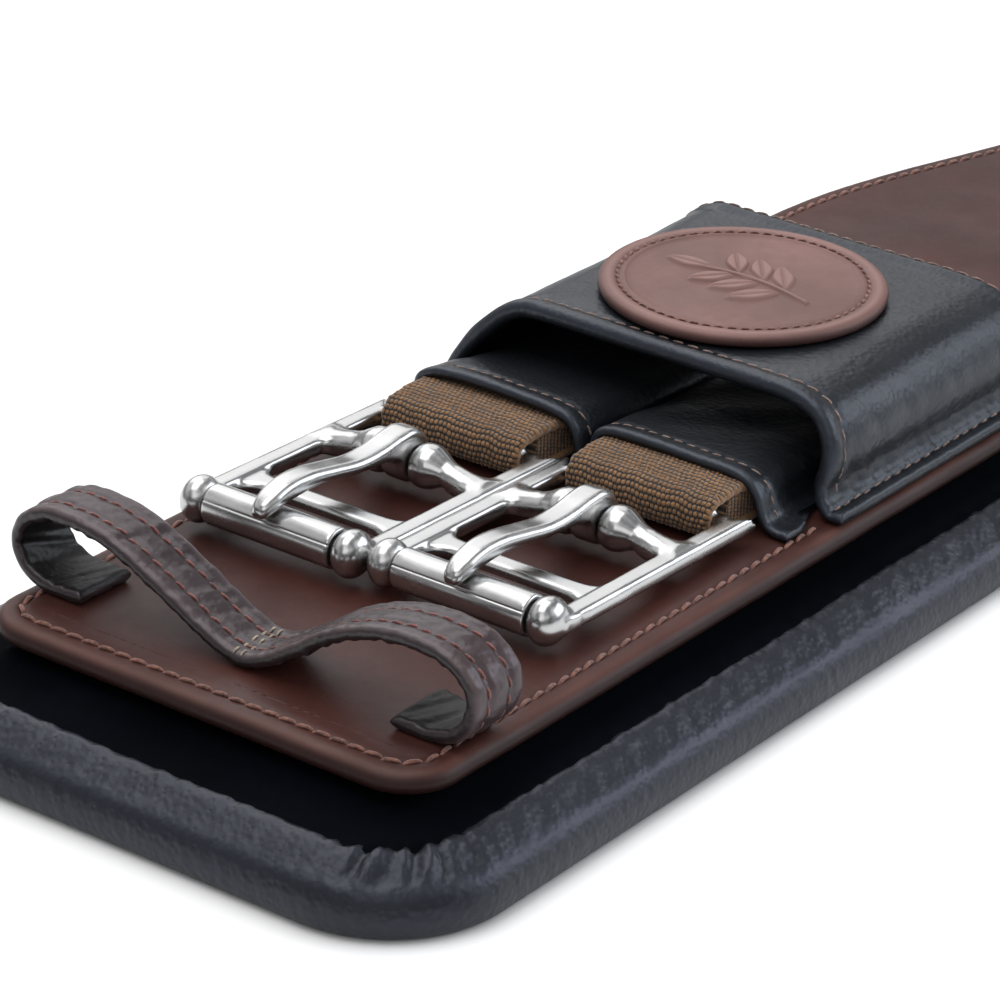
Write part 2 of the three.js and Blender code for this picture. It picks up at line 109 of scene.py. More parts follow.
def smooth_path(points, count, closed=False):
    """Centripetal spline through points, resampled at equal steps."""
    p = np.array(points, float)
    if closed:
        p = np.vstack([p[-1], p, p[0], p[1]])
    else:
        p = np.vstack([2 * p[0] - p[1], p, 2 * p[-1] - p[-2]])
    dense = []
    for k in range(1, len(p) - 2):
        near = p[k - 1 : k + 3]
        gaps = np.maximum(np.linalg.norm(np.diff(near, axis=0), axis=1), 1e-9) ** 0.5
        knots = np.concatenate([[0.0], np.cumsum(gaps)])
        t = np.linspace(knots[1], knots[2], 24, endpoint=False)[:, None]
        a = [between(t, knots[i], knots[i + 1], near[i], near[i + 1]) for i in range(3)]
        b = [between(t, knots[i], knots[i + 2], a[i], a[i + 1]) for i in range(2)]
        dense.append(between(t, knots[1], knots[2], *b))
    dense = np.vstack(dense + [p[-2][None, :]])
    return resample(dense, count, closed)


def arc_lengths(points):
    steps = np.linalg.norm(np.diff(points, axis=0), axis=1)
    return np.concatenate([[0.0], np.cumsum(steps)])


def resample(points, count, closed=False):
    along = arc_lengths(points)
    targets = np.linspace(0.0, along[-1], count, endpoint=not closed)
    return np.stack([np.interp(targets, along, column) for column in points.T], axis=1)


def normals_2d(points, closed=False):
    """Unit normals to the left of a path in a plane."""
    if closed:
        d = np.roll(points, -1, axis=0) - np.roll(points, 1, axis=0)
    else:
        d = np.gradient(points, axis=0)
    d /= np.linalg.norm(d, axis=1)[:, None]
    return np.stack([-d[:, 1], d[:, 0]], axis=1)


def round_lengths(points):
    """Distance round a closed outline of evenly spaced points, at each point."""
    count = len(points)
    return np.arange(count) * (arc_lengths(np.vstack([points, points[:1]]))[-1] / count)


def grid_faces(rows, cols, wrap_rows=False, wrap_cols=False):
    i = np.arange(rows if wrap_rows else rows - 1)
    j = np.arange(cols if wrap_cols else cols - 1)
    i, j = np.meshgrid(i, j, indexing="ij")
    i2, j2 = (i + 1) % rows, (j + 1) % cols
    quads = np.stack([i * cols + j, i * cols + j2, i2 * cols + j2, i2 * cols + j], axis=-1)
    return quads.reshape(-1, 4).tolist()


def tube_faces(rows, cols, start=0):
    """Faces of a closed tube of rows rings with cols points each, numbered from start."""
    faces = [[start + k for k in quad] for quad in grid_faces(rows, cols, wrap_cols=True)]
    last = start + (rows - 1) * cols
    faces.append(list(range(start, start + cols))[::-1])
    faces.append(list(range(last, last + cols)))
    return faces


def new_mesh(name, verts, faces, attributes=None):
    """Closed mesh from millimetres; attributes maps names to a value for each vertex."""
    mesh = bpy.data.meshes.new(name)
    mesh.from_pydata((np.asarray(verts, float) * MM).tolist(), [], faces)
    for key, values in (attributes or {}).items():
        layer = mesh.attributes.new(key, "FLOAT", "POINT")
        layer.data.foreach_set("value", np.asarray(values, np.float32).ravel())
    mesh.validate()
    mesh.update()
    mesh.shade_smooth()
    work = bmesh.new()
    work.from_mesh(mesh)
    bmesh.ops.recalc_face_normals(work, faces=work.faces)
    work.to_mesh(mesh)
    work.free()
    return mesh


def two_tone(mesh, main, second, chosen, share=1.0):
    """Give the faces with at least this share of chosen vertices the second material."""
    mesh.materials.append(main)
    mesh.materials.append(second)
    for polygon in mesh.polygons:
        if sum(chosen[v] for v in polygon.vertices) >= share * len(polygon.vertices):
            polygon.material_index = 1


def add_piece(name, mesh, material, body, nodes=(), end=None, at=(0, 0, 0)):
    """Link a mesh as one piece; with an end it is moved from that end's own coordinates."""
    obj = bpy.data.objects.new(name, mesh)
    bpy.context.scene.collection.objects.link(obj)
    if not mesh.materials:
        mesh.materials.append(material)
    if end is not None:
        sign = 1.0 if end == "nearside" else -1.0
        obj.rotation_euler.z = 0.0 if end == "nearside" else math.pi
        u, v, z = at
        obj.location = (sign * (u - HALF_SPAN) * MM, sign * v * MM, z * MM)
    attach(obj, body)
    if nodes:
        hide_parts(*nodes)
    return obj


# ---------------------------------------------------------------- materials

def new_material(name, shader_values):
    """A material with its node tree and its shader."""
    material = bpy.data.materials.new(name)
    material.use_nodes = True
    shader = material.node_tree.nodes["Principled BSDF"]
    for key, value in shader_values.items():
        shader.inputs[key].default_value = value
    return material, material.node_tree, shader


def plug(tree, value, socket):
    """Link an output into a socket, or set the socket to a number or a colour."""
    if hasattr(value, "is_output"):
        tree.links.new(value, socket)
    elif socket.type == "RGBA":
        socket.default_value = (*value, 1.0)
    else:
        socket.default_value = value


def add_node(tree, kind, inputs, **settings):
    """Add a shader node with its settings, and its inputs linked or set."""
    made = tree.nodes.new(f"ShaderNode{kind}")
    for key, value in settings.items():
        setattr(made, key, value)
    for key, value in inputs.items():
        plug(tree, value, made.inputs[key])
    return made


def coordinates(tree, kind="Object"):
    return add_node(tree, "TexCoord", {}).outputs[kind]


def noise(tree, scale, detail=4.0, rough=0.55, stretch=None):
    where = coordinates(tree)
    if stretch:
        where = add_node(tree, "Mapping", {"Vector": where, "Scale": stretch}).outputs["Vector"]
    values = {"Vector": where, "Scale": scale, "Detail": detail, "Roughness": rough}
    return add_node(tree, "TexNoise", values).outputs["Fac"]


def ramp(tree, value, stops):
    made = add_node(tree, "ValToRGB", {"Fac": value})
    elements = made.color_ramp.elements
    while len(elements) < len(stops):
        elements.new(0.5)
    for element, (place, colour) in zip(elements, stops):
        element.position = place
        element.color = (*colour, 1.0)
    return made.outputs["Color"]


def grey_range(tree, value, low, high, from_low=0.0, from_high=1.0):
    values = {"Value": value, "From Min": from_low, "From Max": from_high, "To Min": low, "To Max": high}
    return add_node(tree, "MapRange", values).outputs["Result"]


def mix_colour(tree, factor, a, b, mode="MIX"):
    """The Mix node's inputs 0, 6 and 7 are its factor and its two colours."""
    return add_node(tree, "Mix", {0: factor, 6: a, 7: b}, data_type="RGBA", blend_type=mode).outputs[2]


def attribute(tree, name):
    return add_node(tree, "Attribute", {}, attribute_name=name).outputs["Fac"]


def bumps(tree, shader, layers):
    """Stack bump layers of (height, strength, distance in metres)."""
    previous = {}
    for height, strength, distance in layers:
        values = {"Height": height, "Strength": strength, "Distance": distance, **previous}
        previous = {"Normal": add_node(tree, "Bump", values).outputs["Normal"]}
    plug(tree, previous["Normal"], shader.inputs["Normal"])


def srgb(r, g, b):
    """Linear colour from 0-255 display values."""
    out = []
    for value in (r, g, b):
        c = value / 255.0
        out.append(c / 12.92 if c <= 0.04045 else ((c + 0.055) / 1.055) ** 2.4)
    return tuple(out)


def leather(name, base, deep, worn_and_lit, grain=900.0, grain_depth=0.00012, rough=(0.38, 0.58),
            edge=None, grain_strength=0.5, crease_strength=0.5, specular=0.5, tint=(1.0, 1.0, 1.0)):
    """Grained leather. The wear and highlight attribute turns base towards the worn and lit colour: painted
    highlight on the pad's crest and the panel's top edge, partly rubbed wear and partly painted highlight
    on the strips and the patch. The rim attribute turns it towards the edge colour.
    """
    material, tree, shader = new_material(name, {
        "Specular IOR Level": specular,
        "Specular Tint": (*tint, 1.0),
    })
    clouds = noise(tree, 28.0, 5.0, 0.6)
    colour = ramp(tree, clouds, [(0.3, deep), (0.62, base), (0.85, tuple(1.18 * c for c in base))])
    fine = noise(tree, 420.0, 3.0, 0.6)
    colour = mix_colour(tree, grey_range(tree, fine, 0.0, 0.28, 0.35, 0.7), colour, deep)
    # Lighter towards the worn and lit colour: painted highlight and rubbed wear, as each piece sets it.
    colour = mix_colour(tree, attribute(tree, "wear_and_highlight"), colour, worn_and_lit)
    if edge is not None:
        colour = mix_colour(tree, attribute(tree, "rim"), colour, edge)
    plug(tree, colour, shader.inputs["Base Color"])
    patchy = noise(tree, 60.0, 6.0, 0.65)
    plug(tree, grey_range(tree, patchy, rough[0], rough[1], 0.3, 0.7), shader.inputs["Roughness"])
    pebbles = {"Vector": coordinates(tree), "Scale": grain}
    cells = add_node(tree, "TexVoronoi", pebbles, feature="SMOOTH_F1").outputs["Distance"]
    creases = noise(tree, grain * 0.5, 5.0, 0.62)
    bumps(tree, shader, [
        (creases, crease_strength, grain_depth * 1.6),
        (cells, grain_strength, grain_depth),
    ])
    return material


def thread(name, light, dark):
    material, tree, shader = new_material(name, {"Roughness": 0.75, "Sheen Weight": 0.25})
    twist = noise(tree, 1400.0, 2.0, 0.5)
    plug(tree, ramp(tree, twist, [(0.35, dark), (0.65, light)]), shader.inputs["Base Color"])
    bumps(tree, shader, [(twist, 0.6, 0.00015)])
    return material


def steel(name):
    material, tree, shader = new_material(name, {"Metallic": 1.0})
    haze = noise(tree, 90.0, 4.0, 0.6)
    tone = ramp(tree, haze, [(0.3, (0.48, 0.48, 0.478)), (0.7, (0.57, 0.57, 0.567))])
    plug(tree, tone, shader.inputs["Base Color"])
    plug(tree, grey_range(tree, haze, 0.2, 0.3, 0.3, 0.7), shader.inputs["Roughness"])
    scratches = noise(tree, 700.0, 3.0, 0.7, stretch=(0.15, 1.0, 1.0))
    dents = noise(tree, 160.0, 2.0, 0.5)
    bumps(tree, shader, [(dents, 0.05, 0.0001), (scratches, 0.05, 0.00003)])
    return material


def woven(name, light, mid, gap_shade):
    """Elastic: the weave attribute is 1 on a raised yarn and 0 in the gap between yarns, where the gap
    colour is painted shade.
    """
    material, tree, shader = new_material(name, {
        "Roughness": 0.85,
        "Sheen Weight": 0.3,
        "Sheen Roughness": 0.5,
    })
    fuzz = noise(tree, 1500.0, 3.0, 0.7)
    yarn = ramp(tree, fuzz, [(0.3, mid), (0.72, light)])
    patchy = noise(tree, 160.0, 4.0, 0.6)
    yarn = mix_colour(tree, grey_range(tree, patchy, 0.0, 0.45, 0.35, 0.7), yarn, mid)
    # Painted shade: the gaps between yarns are coloured near-black.
    gap_shade_share = grey_range(tree, attribute(tree, "weave"), 1.0, 0.0, 0.14, 0.5)
    plug(tree, mix_colour(tree, gap_shade_share, yarn, gap_shade), shader.inputs["Base Color"])
    bumps(tree, shader, [(fuzz, 0.5, 0.00012)])
    return material


def plain_weave(name, light, dark, pitch):
    material, tree, shader = new_material(name, {"Roughness": 0.9})
    values = {"Vector": coordinates(tree), "Scale": 1.0 / pitch, "Distortion": 0.4}
    wave = add_node(tree, "TexWave", values).outputs["Fac"]
    plug(tree, ramp(tree, wave, [(0.2, dark), (0.8, light)]), shader.inputs["Base Color"])
    bumps(tree, shader, [(wave, 0.5, 0.0002)])
    return material


BROWN = leather(
    "panel_brown_leather", srgb(66, 36, 31), srgb(45, 24, 21), srgb(90, 60, 52),
    grain=1500.0, grain_depth=0.00005, rough=(0.4, 0.54), edge=srgb(36, 19, 17),
    grain_strength=0.35, specular=0.22,
)
PATCH_BROWN = leather(
    "patch_brown_leather", srgb(118, 86, 81), srgb(93, 66, 61), srgb(142, 110, 104),
    grain=1300.0, grain_depth=0.00006, rough=(0.45, 0.6), edge=srgb(44, 26, 24),
    grain_strength=0.45, specular=0.3,
)
BLACK = leather(
    "soft_black_leather", srgb(17, 20, 24), srgb(8, 9, 12), srgb(44, 48, 56),
    grain=900.0, grain_depth=0.00018, rough=(0.34, 0.44), specular=0.5, grain_strength=0.6,
    crease_strength=0.4, tint=(0.80, 0.87, 1.0),
)
LINER = leather(
    "pebbled_liner_leather", srgb(16, 17, 25), srgb(9, 10, 15), srgb(46, 48, 60),
    grain=800.0, grain_depth=0.00022, rough=(0.38, 0.46), specular=0.5, grain_strength=0.75,
    crease_strength=0.25, tint=(0.80, 0.84, 1.0),
)
# Painted shade: a near-black, almost unreflective material for the shaded recess under the panel's
# overhang.
RECESS_SHADE = leather(
    "painted_recess_shade", srgb(3, 5, 11), srgb(1, 2, 5), srgb(8, 10, 15),
    grain=700.0, grain_depth=0.0001, rough=(0.8, 0.95), specular=0.04,
)
KEEPER = leather(
    "keeper_leather", srgb(58, 45, 46), srgb(34, 25, 26), srgb(92, 79, 80),
    grain=700.0, grain_depth=0.0002, rough=(0.28, 0.42), edge=srgb(22, 17, 17), specular=0.5,
    grain_strength=0.7, crease_strength=0.5, tint=(0.98, 0.93, 1.0),
)
LINING = leather(
    "black_lining", srgb(15, 13, 13), srgb(7, 6, 6), srgb(32, 30, 30),
    grain=900.0, grain_depth=0.0002, rough=(0.4, 0.6), specular=0.35,
)
STEEL = steel("polished_stainless")
# The last colour is painted shade for the gaps between yarns.
ELASTIC = woven("woven_elastic", srgb(150, 108, 64), srgb(92, 63, 36), srgb(8, 6, 3))
BRICK_THREAD = thread("brick_thread", srgb(122, 76, 60), srgb(72, 41, 33))
BEIGE_THREAD = thread("beige_thread", srgb(124, 100, 90), srgb(80, 62, 55))
CREAM_THREAD = thread("cream_thread", srgb(150, 136, 116), srgb(96, 84, 70))
KEEPER_THREAD = thread("keeper_thread", srgb(118, 62, 54), srgb(66, 32, 28))
FOAM = leather(
    "foam", srgb(150, 150, 144), srgb(120, 120, 114), srgb(170, 170, 164),
    grain=1800.0, grain_depth=0.0002, rough=(0.85, 0.95), specular=0.2,
)
WEB = plain_weave("nylon_web", srgb(60, 60, 60), srgb(26, 26, 26), 0.0016)


# ---------------------------------------------------------------- strap outline seen from above

def waist(x):
    t = np.clip((HALF_SPAN - np.abs(x) - WAIST_START) / WAIST_RUN, 0.0, 1.0)
    return WAIST_DROP * (1.0 - np.cos(math.pi * t)) / 2.0


def plan_outline(end_u, half, corner, count):
    """Evenly spaced points round the strap from the middle of the +X end, with outward normals."""
    end_x = HALF_SPAN - end_u
    side = np.linspace(end_x - corner, -(end_x - corner), 1200)
    arc = np.linspace(0.0, math.pi / 2, 60)
    right = np.stack([end_x - corner + corner * np.cos(arc), half - corner + corner * np.sin(arc)], 1)
    top = np.stack([side, half - waist(side)], 1)
    left = np.stack([-right[::-1, 0], right[::-1, 1]], 1)
    upper = np.vstack([[[end_x, 0.0]], right, top[1:-1], left, [[-end_x, 0.0]]])
    lower = upper[::-1][1:-1] * [1.0, -1.0]
    ring = np.vstack([upper, lower, upper[:1]])
    points = resample(ring, count, closed=True)
    return points, -normals_2d(points, closed=True)


def ring_surface(points, normals, insets, heights):
    """Rows of the outline pulled in by insets[row, i] at heights[row, i]."""
    x = points[None, :, 0] - normals[None, :, 0] * insets
    y = points[None, :, 1] - normals[None, :, 1] * insets
    return np.stack([x, y, heights], axis=-1)


def cap_faces(start, count, flip):
    """Quads across a ring that is the same on both sides of the X axis."""
    faces = []
    half = count // 2
    for i in range(half):
        a, b = start + i, start + i + 1
        c, d = start + (count - i - 1) % count, start + (count - i) % count
        face = [a, b, c, d]
        if i == 0:
            face = [a, b, c]
        elif i == half - 1:
            face = [a, b, d]
        faces.append(face[::-1] if flip else face)
    return faces


def closed_strap(name, rows, attributes):
    """A closed skin from rows of rings, capped across the first and the last."""
    count = rows.shape[1]
    faces = grid_faces(rows.shape[0], count, wrap_cols=True)
    faces += cap_faces(0, count, True)
    faces += cap_faces((rows.shape[0] - 1) * count, count, False)
    return new_mesh(name, rows.reshape(-1, 3), faces, attributes)


# ---------------------------------------------------------------- padded liner

def liner_pad():
    count = 1600
    points, normals = plan_outline(PAD_END, PAD_HALF, PAD_CORNER, count)
    s = round_lengths(points)[None, :]
    profile = smooth_path([
        (4.0, 0.0), (1.9, 0.15), (0.6, 1.2), (0.0, 3.6), (0.45, 6.4), (1.5, 8.5), (2.5, 9.45),
        (3.6, 10.15), (5.2, 11.2), (7.4, 12.5), (8.9, 12.95), (10.2, 12.5), (12.0, 11.9), (15.0, 11.8),
        (18.0, 12.4), (22.0, 14.3), (24.0, 14.5),
    ], 62)
    profile[0] = (4.0, 0.0)
    inset = np.repeat(profile[:, :1], count, axis=1)
    height = np.repeat(profile[:, 1:2], count, axis=1)

    end_x = HALF_SPAN - PAD_END
    from_corner = np.hypot(
        np.maximum(np.abs(points[:, 0]) - (end_x - PAD_CORNER), 0) - PAD_CORNER * 0.7,
        np.maximum(np.abs(points[:, 1]) - (PAD_HALF - PAD_CORNER), 0) - PAD_CORNER * 0.7,
    )
    corner = (1.0 - smoothstep(from_corner, 9.0, 24.0))[None, :]

    wander = ripple(s, 3, 5, 9.0, 22.0)
    pleat = np.sin(2 * math.pi * (s - 0.5 * inset) / 6.4 + 1.3 * wander)
    pleat *= 0.55 + 0.45 * ripple(s, 4, 3, 7.0, 15.0)
    pleat += 0.12 * ripple(s + 0.4 * inset, 5, 4, 2.4, 4.2)
    slope_window = smoothstep(inset, 1.2, 5.0) * (1 - smoothstep(inset, 10.5, 15.0))
    gather = corner * pleat * slope_window

    slant = s + 0.55 * inset * (1 + 0.4 * ripple(s, 8, 3, 60.0, 140.0))
    creases = ripple(slant, 11, 9, 2.2, 5.5) * (0.5 + 0.5 * ripple(s, 12, 4, 18.0, 60.0))
    slope_creases = 0.10 * creases * smoothstep(inset, 2.6, 6.5) * (1 - smoothstep(inset, 12.0, 16.0))
    wall = (height < 9.0) & (inset < 2.4)
    wall_window = np.where(wall, smoothstep(height, 0.6, 2.4) * (1 - smoothstep(height, 7.6, 9.0)), 0.0)
    wall_creases = 0.08 * ripple(s + 0.35 * height, 21, 8, 1.8, 4.6) * wall_window

    swell = 0.35 * ripple(s, 31, 4, 55.0, 130.0)
    lift = 1.15 * gather + slope_creases + swell * slope_window
    heights = height + lift
    insets = inset - wall_creases - 0.25 * swell * wall_window - 0.22 * gather
    heights[0] = 0.0
    rows = ring_surface(points, normals, insets, np.maximum(heights, 0.0))
    # Painted highlight: the crest of the rim and the raised corner pleats are coloured lighter, through the
    # wear and highlight attribute.
    crest = bump_at(inset, 2.1, 0.9) * 0.28 + 0.18 * np.clip(gather, 0, 1)
    mesh = closed_strap("liner_pad", rows, {"wear_and_highlight": np.clip(crest, 0, 1)})
    # Painted shade: the pad's top further in than the rim, under the panel's overhang, takes the near-black
    # recess material.
    recess_shade_mask = (inset > 9.6 + 1.2 * gather).reshape(-1)
    two_tone(mesh, LINER, RECESS_SHADE, recess_shade_mask, 0.5)
    pad = add_piece("padded_liner", mesh, LINER, "girth", ["liner_cover"])


# ---------------------------------------------------------------- top panel

def panel():
    count = 1500
    points, normals = plan_outline(PANEL_END, PANEL_HALF, PANEL_CORNER, count)
    s = round_lengths(points)[None, :]
    profile = smooth_path([
        (7.0, 16.32), (3.0, 16.34), (1.2, 16.6), (0.35, 17.25), (0.0, 18.3), (0.25, 19.3), (1.0, 20.15),
        (2.1, 20.62), (3.3, 20.8), (4.2, 20.74), (4.65, 20.55), (5.1, 20.74), (6.2, 20.95), (9.0, 21.0),
    ], 44)
    inset = np.repeat(profile[:, :1], count, axis=1)
    height = np.repeat(profile[:, 1:2], count, axis=1)
    ripples = 0.05 * ripple(s, 41, 6, 3.5, 9.0) * bump_at(inset, 3.0, 1.6)
    edge_line = 0.10 * ripple(s, 42, 4, 20.0, 70.0)
    rows = ring_surface(points, normals, inset + edge_line * (1 - smoothstep(inset, 2.0, 8.0)),
                        height + ripples * (height > 18))
    # Painted highlight: a lighter line along the top of the rounded edge, through the wear and highlight
    # attribute.
    worn_and_lit = 0.55 * bump_at(inset, 1.6, 0.9) * (height > 18) * (0.7 + 0.3 * ripple(s, 43, 5, 15.0, 50.0))
    dark = 0.92 * smoothstep(20.4 - height, 0.0, 1.0)
    attributes = {"wear_and_highlight": np.clip(worn_and_lit, 0, 1), "rim": np.clip(dark, 0, 1)}
    mesh = closed_strap("top_panel_leather", rows, attributes)
    add_piece("top_panel_leather", mesh, BROWN, "girth", ["top_panel"])

    row, outward = plan_outline(PANEL_END, PANEL_HALF, PANEL_CORNER, 4000)
    line = row - outward * PANEL_SEAM
    line, outward = (np.vstack([ring, ring[:1]]) for ring in (line, outward))
    along = arc_lengths(line)
    pitch = along[-1] / round(along[-1] / 3.7)
    up = np.array([0.0, 0.0, 1.0])
    places = []
    for place in np.arange(pitch / 2, along[-1], pitch):
        x, y, a, b = (np.interp(place, along, column) for column in (*line.T, *outward.T))
        under_tunnel = TUNNEL_FRONT - 1 < HALF_SPAN - abs(x) < TUNNEL_REAR + 1 and abs(y) > 40
        if not under_tunnel:
            places.append((np.array([x, y, 20.72]), np.cross(up, [a, b, 0.0]), up))
    mesh = stitch_mesh("panel_stitching", places, 4.1, 0.44, 0.17, 0.3)
    add_piece("panel_stitching", mesh, BRICK_THREAD, "girth")


# ---------------------------------------------------------------- stitching

def stitch_mesh(name, places, length, radius, slant, sink=0.3):
    """Short bowed threads. Each place is (point, direction, up); slant is in radians about up."""
    sides, rings = 8, 9
    verts, faces = [], []
    t = np.linspace(-1.0, 1.0, rings)
    swell = np.sqrt(np.clip(1.0 - np.abs(t) ** 3.2, 0.0, 1.0))
    swell[0] = swell[-1] = 0.12
    angles = np.linspace(0, 2 * math.pi, sides, endpoint=False)
    for point, direction, up in places:
        direction = direction / np.linalg.norm(direction)
        up = up / np.linalg.norm(up)
        side = np.cross(up, direction)
        d = math.cos(slant) * direction + math.sin(slant) * side
        side = np.cross(up, d)
        base = len(verts)
        for k in range(rings):
            bow = radius * (0.9 - sink - 1.5 * abs(t[k]) ** 3)
            centre = point + d * (t[k] * length / 2) + up * bow
            for angle in angles:
                offset = side * math.cos(angle) + up * math.sin(angle) * 0.8
                verts.append(centre + offset * radius * swell[k])
        faces += tube_faces(rings, sides, base)
    return new_mesh(name, verts, faces)


# ---------------------------------------------------------------- leather strips over the panel

class Strip:
    """A leather strip that follows a path in the v-z plane, with its width along u.

    half is half its thickness. edge_u gives the two long edges for each path point. dent and bead
    add to the surface: dent(s, w, outer) and bead(w, width, z) in millimetres, w being the distance
    from the front edge."""

    def __init__(self, path, half, edge_u, dent, across=60, soften=1.0, bead=None):
        self.path = path
        self.s = arc_lengths(path)
        self.normal = normals_2d(path)
        self.half = half
        self.edge_u = edge_u
        self.dent = dent
        self.across = across
        self.soften = soften
        self.bead = bead

    def surface(self, s, w):
        """Point and outward normal on the outer face."""
        v, z = (np.interp(s, self.s, self.path[:, k]) for k in range(2))
        nv, nz = (np.interp(s, self.s, self.normal[:, k]) for k in range(2))
        front, rear = self.edge_u(z)
        reach = self.half + (self.bead(w, rear - front, z) if self.bead else 0.0)
        reach += self.dent(np.array([s]), np.array([w]), np.array([True]))[0]
        return np.array([front + w, v + nv * reach, z + nz * reach]), np.array([0.0, nv, nz])

    def build(self, name):
        s = self.s[:, None]
        z = self.path[:, 1][:, None]
        front, rear = self.edge_u(z)
        width = rear - front
        half = self.half
        theta = np.linspace(math.pi / 2, -math.pi / 2, 7)[1:-1]
        turn, out = np.sin(theta), np.cos(theta)
        flat = np.linspace(0, 1, self.across)
        w_share = np.concatenate([flat, 1 + 0 * turn, flat[::-1], 0 * turn])
        level = np.concatenate([1 + 0 * flat, turn, -1 + 0 * flat, turn[::-1]])
        stick = np.concatenate([0 * flat, out, 0 * flat, -out[::-1]])
        rounding = half * self.soften
        w = rounding + w_share[None, :] * (width - 2 * rounding)
        w = w + stick[None, :] * rounding
        reach = half * np.ones_like(w)
        if self.bead is not None:
            reach = reach + self.bead(w, width, z)
        reach = reach * level[None, :]
        outer = np.broadcast_to(level[None, :] > 0, w.shape)
        push = self.dent(np.broadcast_to(s, w.shape), w, outer)
        reach = reach + push * np.abs(level[None, :]) * np.where(outer, 1.0, -1.0)
        taper = np.ones(len(self.s))
        taper[0] = taper[-1] = 0.45
        taper[1] = taper[-2] = 0.85
        reach = reach * taper[:, None]
        u = front + w
        v = self.path[:, 0][:, None] + self.normal[:, 0][:, None] * reach
        zz = z + self.normal[:, 1][:, None] * reach
        verts = np.stack([u, v, zz], axis=-1)
        # Lighter along both long edges, on the outer face and the rounded sides: partly rubbed wear, partly
        # painted highlight.
        wear_and_highlight = bump_at(w, 0.6, 0.9) + bump_at(w, width - 0.6, 0.9)
        level = np.broadcast_to(level[None, :], w.shape)
        # which vertices are on the lining side, for two_tone
        self.inside = (level < -0.5).ravel()
        attributes = {"wear_and_highlight": np.clip(0.5 * wear_and_highlight * (level >= -0.2), 0, 1), "rim": 1.0 - level ** 2}
        return new_mesh(name, verts.reshape(-1, 3), tube_faces(*w.shape), attributes)

    def stitches(self, w, pitch, margin, lift):
        """Stitch places along the path at distance w from the front edge, margin from its ends."""
        places = []
        for s in np.arange(margin + pitch / 2, self.s[-1] - margin, pitch):
            point, up = self.surface(s, w)
            ahead, _ = self.surface(min(s + 0.4, self.s[-1]), w)
            behind, _ = self.surface(max(s - 0.4, 0.0), w)
            places.append((point + up * lift, ahead - behind, up))
        return places

    def cross_stitches(self, s, distances, sink):
        """Stitch places across the strip at path length s."""
        places = []
        for w in distances:
            point, up = self.surface(s, w)
            places.append((point - up * sink, np.array([1.0, 0.0, 0.0]), up))
        return places


def keeper_strip():
    path = smooth_path([
        (-34, 22.5), (-43, 22.55), (-47.6, 24.4), (-50.3, 28.6), (-50, 33.4), (-45.5, 37.2), (-38, 38.4),
        (-29, 37.2), (-20, 33.5), (-12, 28), (-5, 23.8), (0, 22.55), (6, 24.3), (17, 29.8), (30, 35.6),
        (38, 36.9), (45, 36.4), (50.2, 33), (51.4, 28.5), (49, 24.4), (44.5, 22.55), (36, 22.5),
    ], 320)

    def edges(z):
        return KEEPER_FRONT + 0 * z, KEEPER_REAR + 0 * z

    def dent(s, w, outer):
        pillow = -0.5 * sum(bump_at(w, seam, 0.9) for seam in KEEPER_SEAMS)
        crown = 0.35 * (1 - ((w - 7.0) / 7.0) ** 2)
        wrinkle = 0.16 * ripple(s + 0.3 * w, 51, 7, 2.2, 7.0)
        wrinkle = wrinkle * (0.6 + 0.4 * ripple(w + 0.2 * s, 52, 4, 3.0, 9.0))
        inner = 0.22 * ripple(s - 0.4 * w, 53, 7, 2.4, 7.5)
        return np.where(outer, pillow + crown + wrinkle, inner)

    return Strip(path, 1.3, edges, dent, across=34, soften=0.95)


def tunnel_strip():
    path = smooth_path([
        (-49.3, TUNNEL_BASE), (-46, TUNNEL_BASE), (-44.2, 23.6), (-43.2, 26.4), (-43.9, 31),
        (-43.2, 35.5), (-40.2, 39.8), (-35.4, 41.8), (-30.5, TUNNEL_CREST), (-15, TUNNEL_CREST),
        (0, TUNNEL_CREST), (24, TUNNEL_CREST), (28.2, 42.1), (32.4, 40.2), (37.4, 35.4), (41.6, 30),
        (43.5, 26), (44.3, 23.7), (46, TUNNEL_BASE), (49.3, TUNNEL_BASE),
    ], 420)
    length = arc_lengths(path)[-1]

    def edges(z):
        rise = np.clip((z - TUNNEL_BASE) / 20.0, 0.0, 1.0)
        return TUNNEL_FRONT + 3.5 * rise, TUNNEL_REAR - 1.75 * rise

    def bead(w, width, z):
        lift = smoothstep(z, TUNNEL_BASE + 1.5, TUNNEL_BASE + 7)
        return 0.55 * lift * (1 - smoothstep(w, 2.6, 4.6) + smoothstep(w, width - 4.6, width - 2.6))

    def dent(s, w, outer):
        from_foot = np.minimum(s, length - s)
        pucker = ripple(w + 0.4 * from_foot, 61, 8, 3.0, 8.5) * bump_at(from_foot, 7.0, 5.0) * 0.2
        wide = ripple(w + 0.5 * from_foot, 62, 7, 4.0, 11.0) * bump_at(from_foot, 13.0, 9.0)
        pucker = pucker + 0.16 * wide
        seam = -0.42 * bump_at(from_foot, TUNNEL_FOOT_SEAM, 0.7)
        mouth_seam = -0.32 * (bump_at(w, TUNNEL_SEAMS[0], 0.6) + bump_at(w, TUNNEL_SEAMS[1] + 1.0, 0.8))
        mouth_seam = mouth_seam * smoothstep(from_foot, 4.0, 8.0)
        slack = 0.35 * ripple(s + 0.6 * w, 63, 4, 22.0, 55.0) * smoothstep(from_foot, 10, 22)
        slack = slack * (1 - smoothstep(from_foot, 34.0, 42.0))
        return np.where(outer, pucker + seam + mouth_seam + slack, slack)

    return Strip(path, 1.2, edges, dent, across=110, soften=1.2, bead=bead)


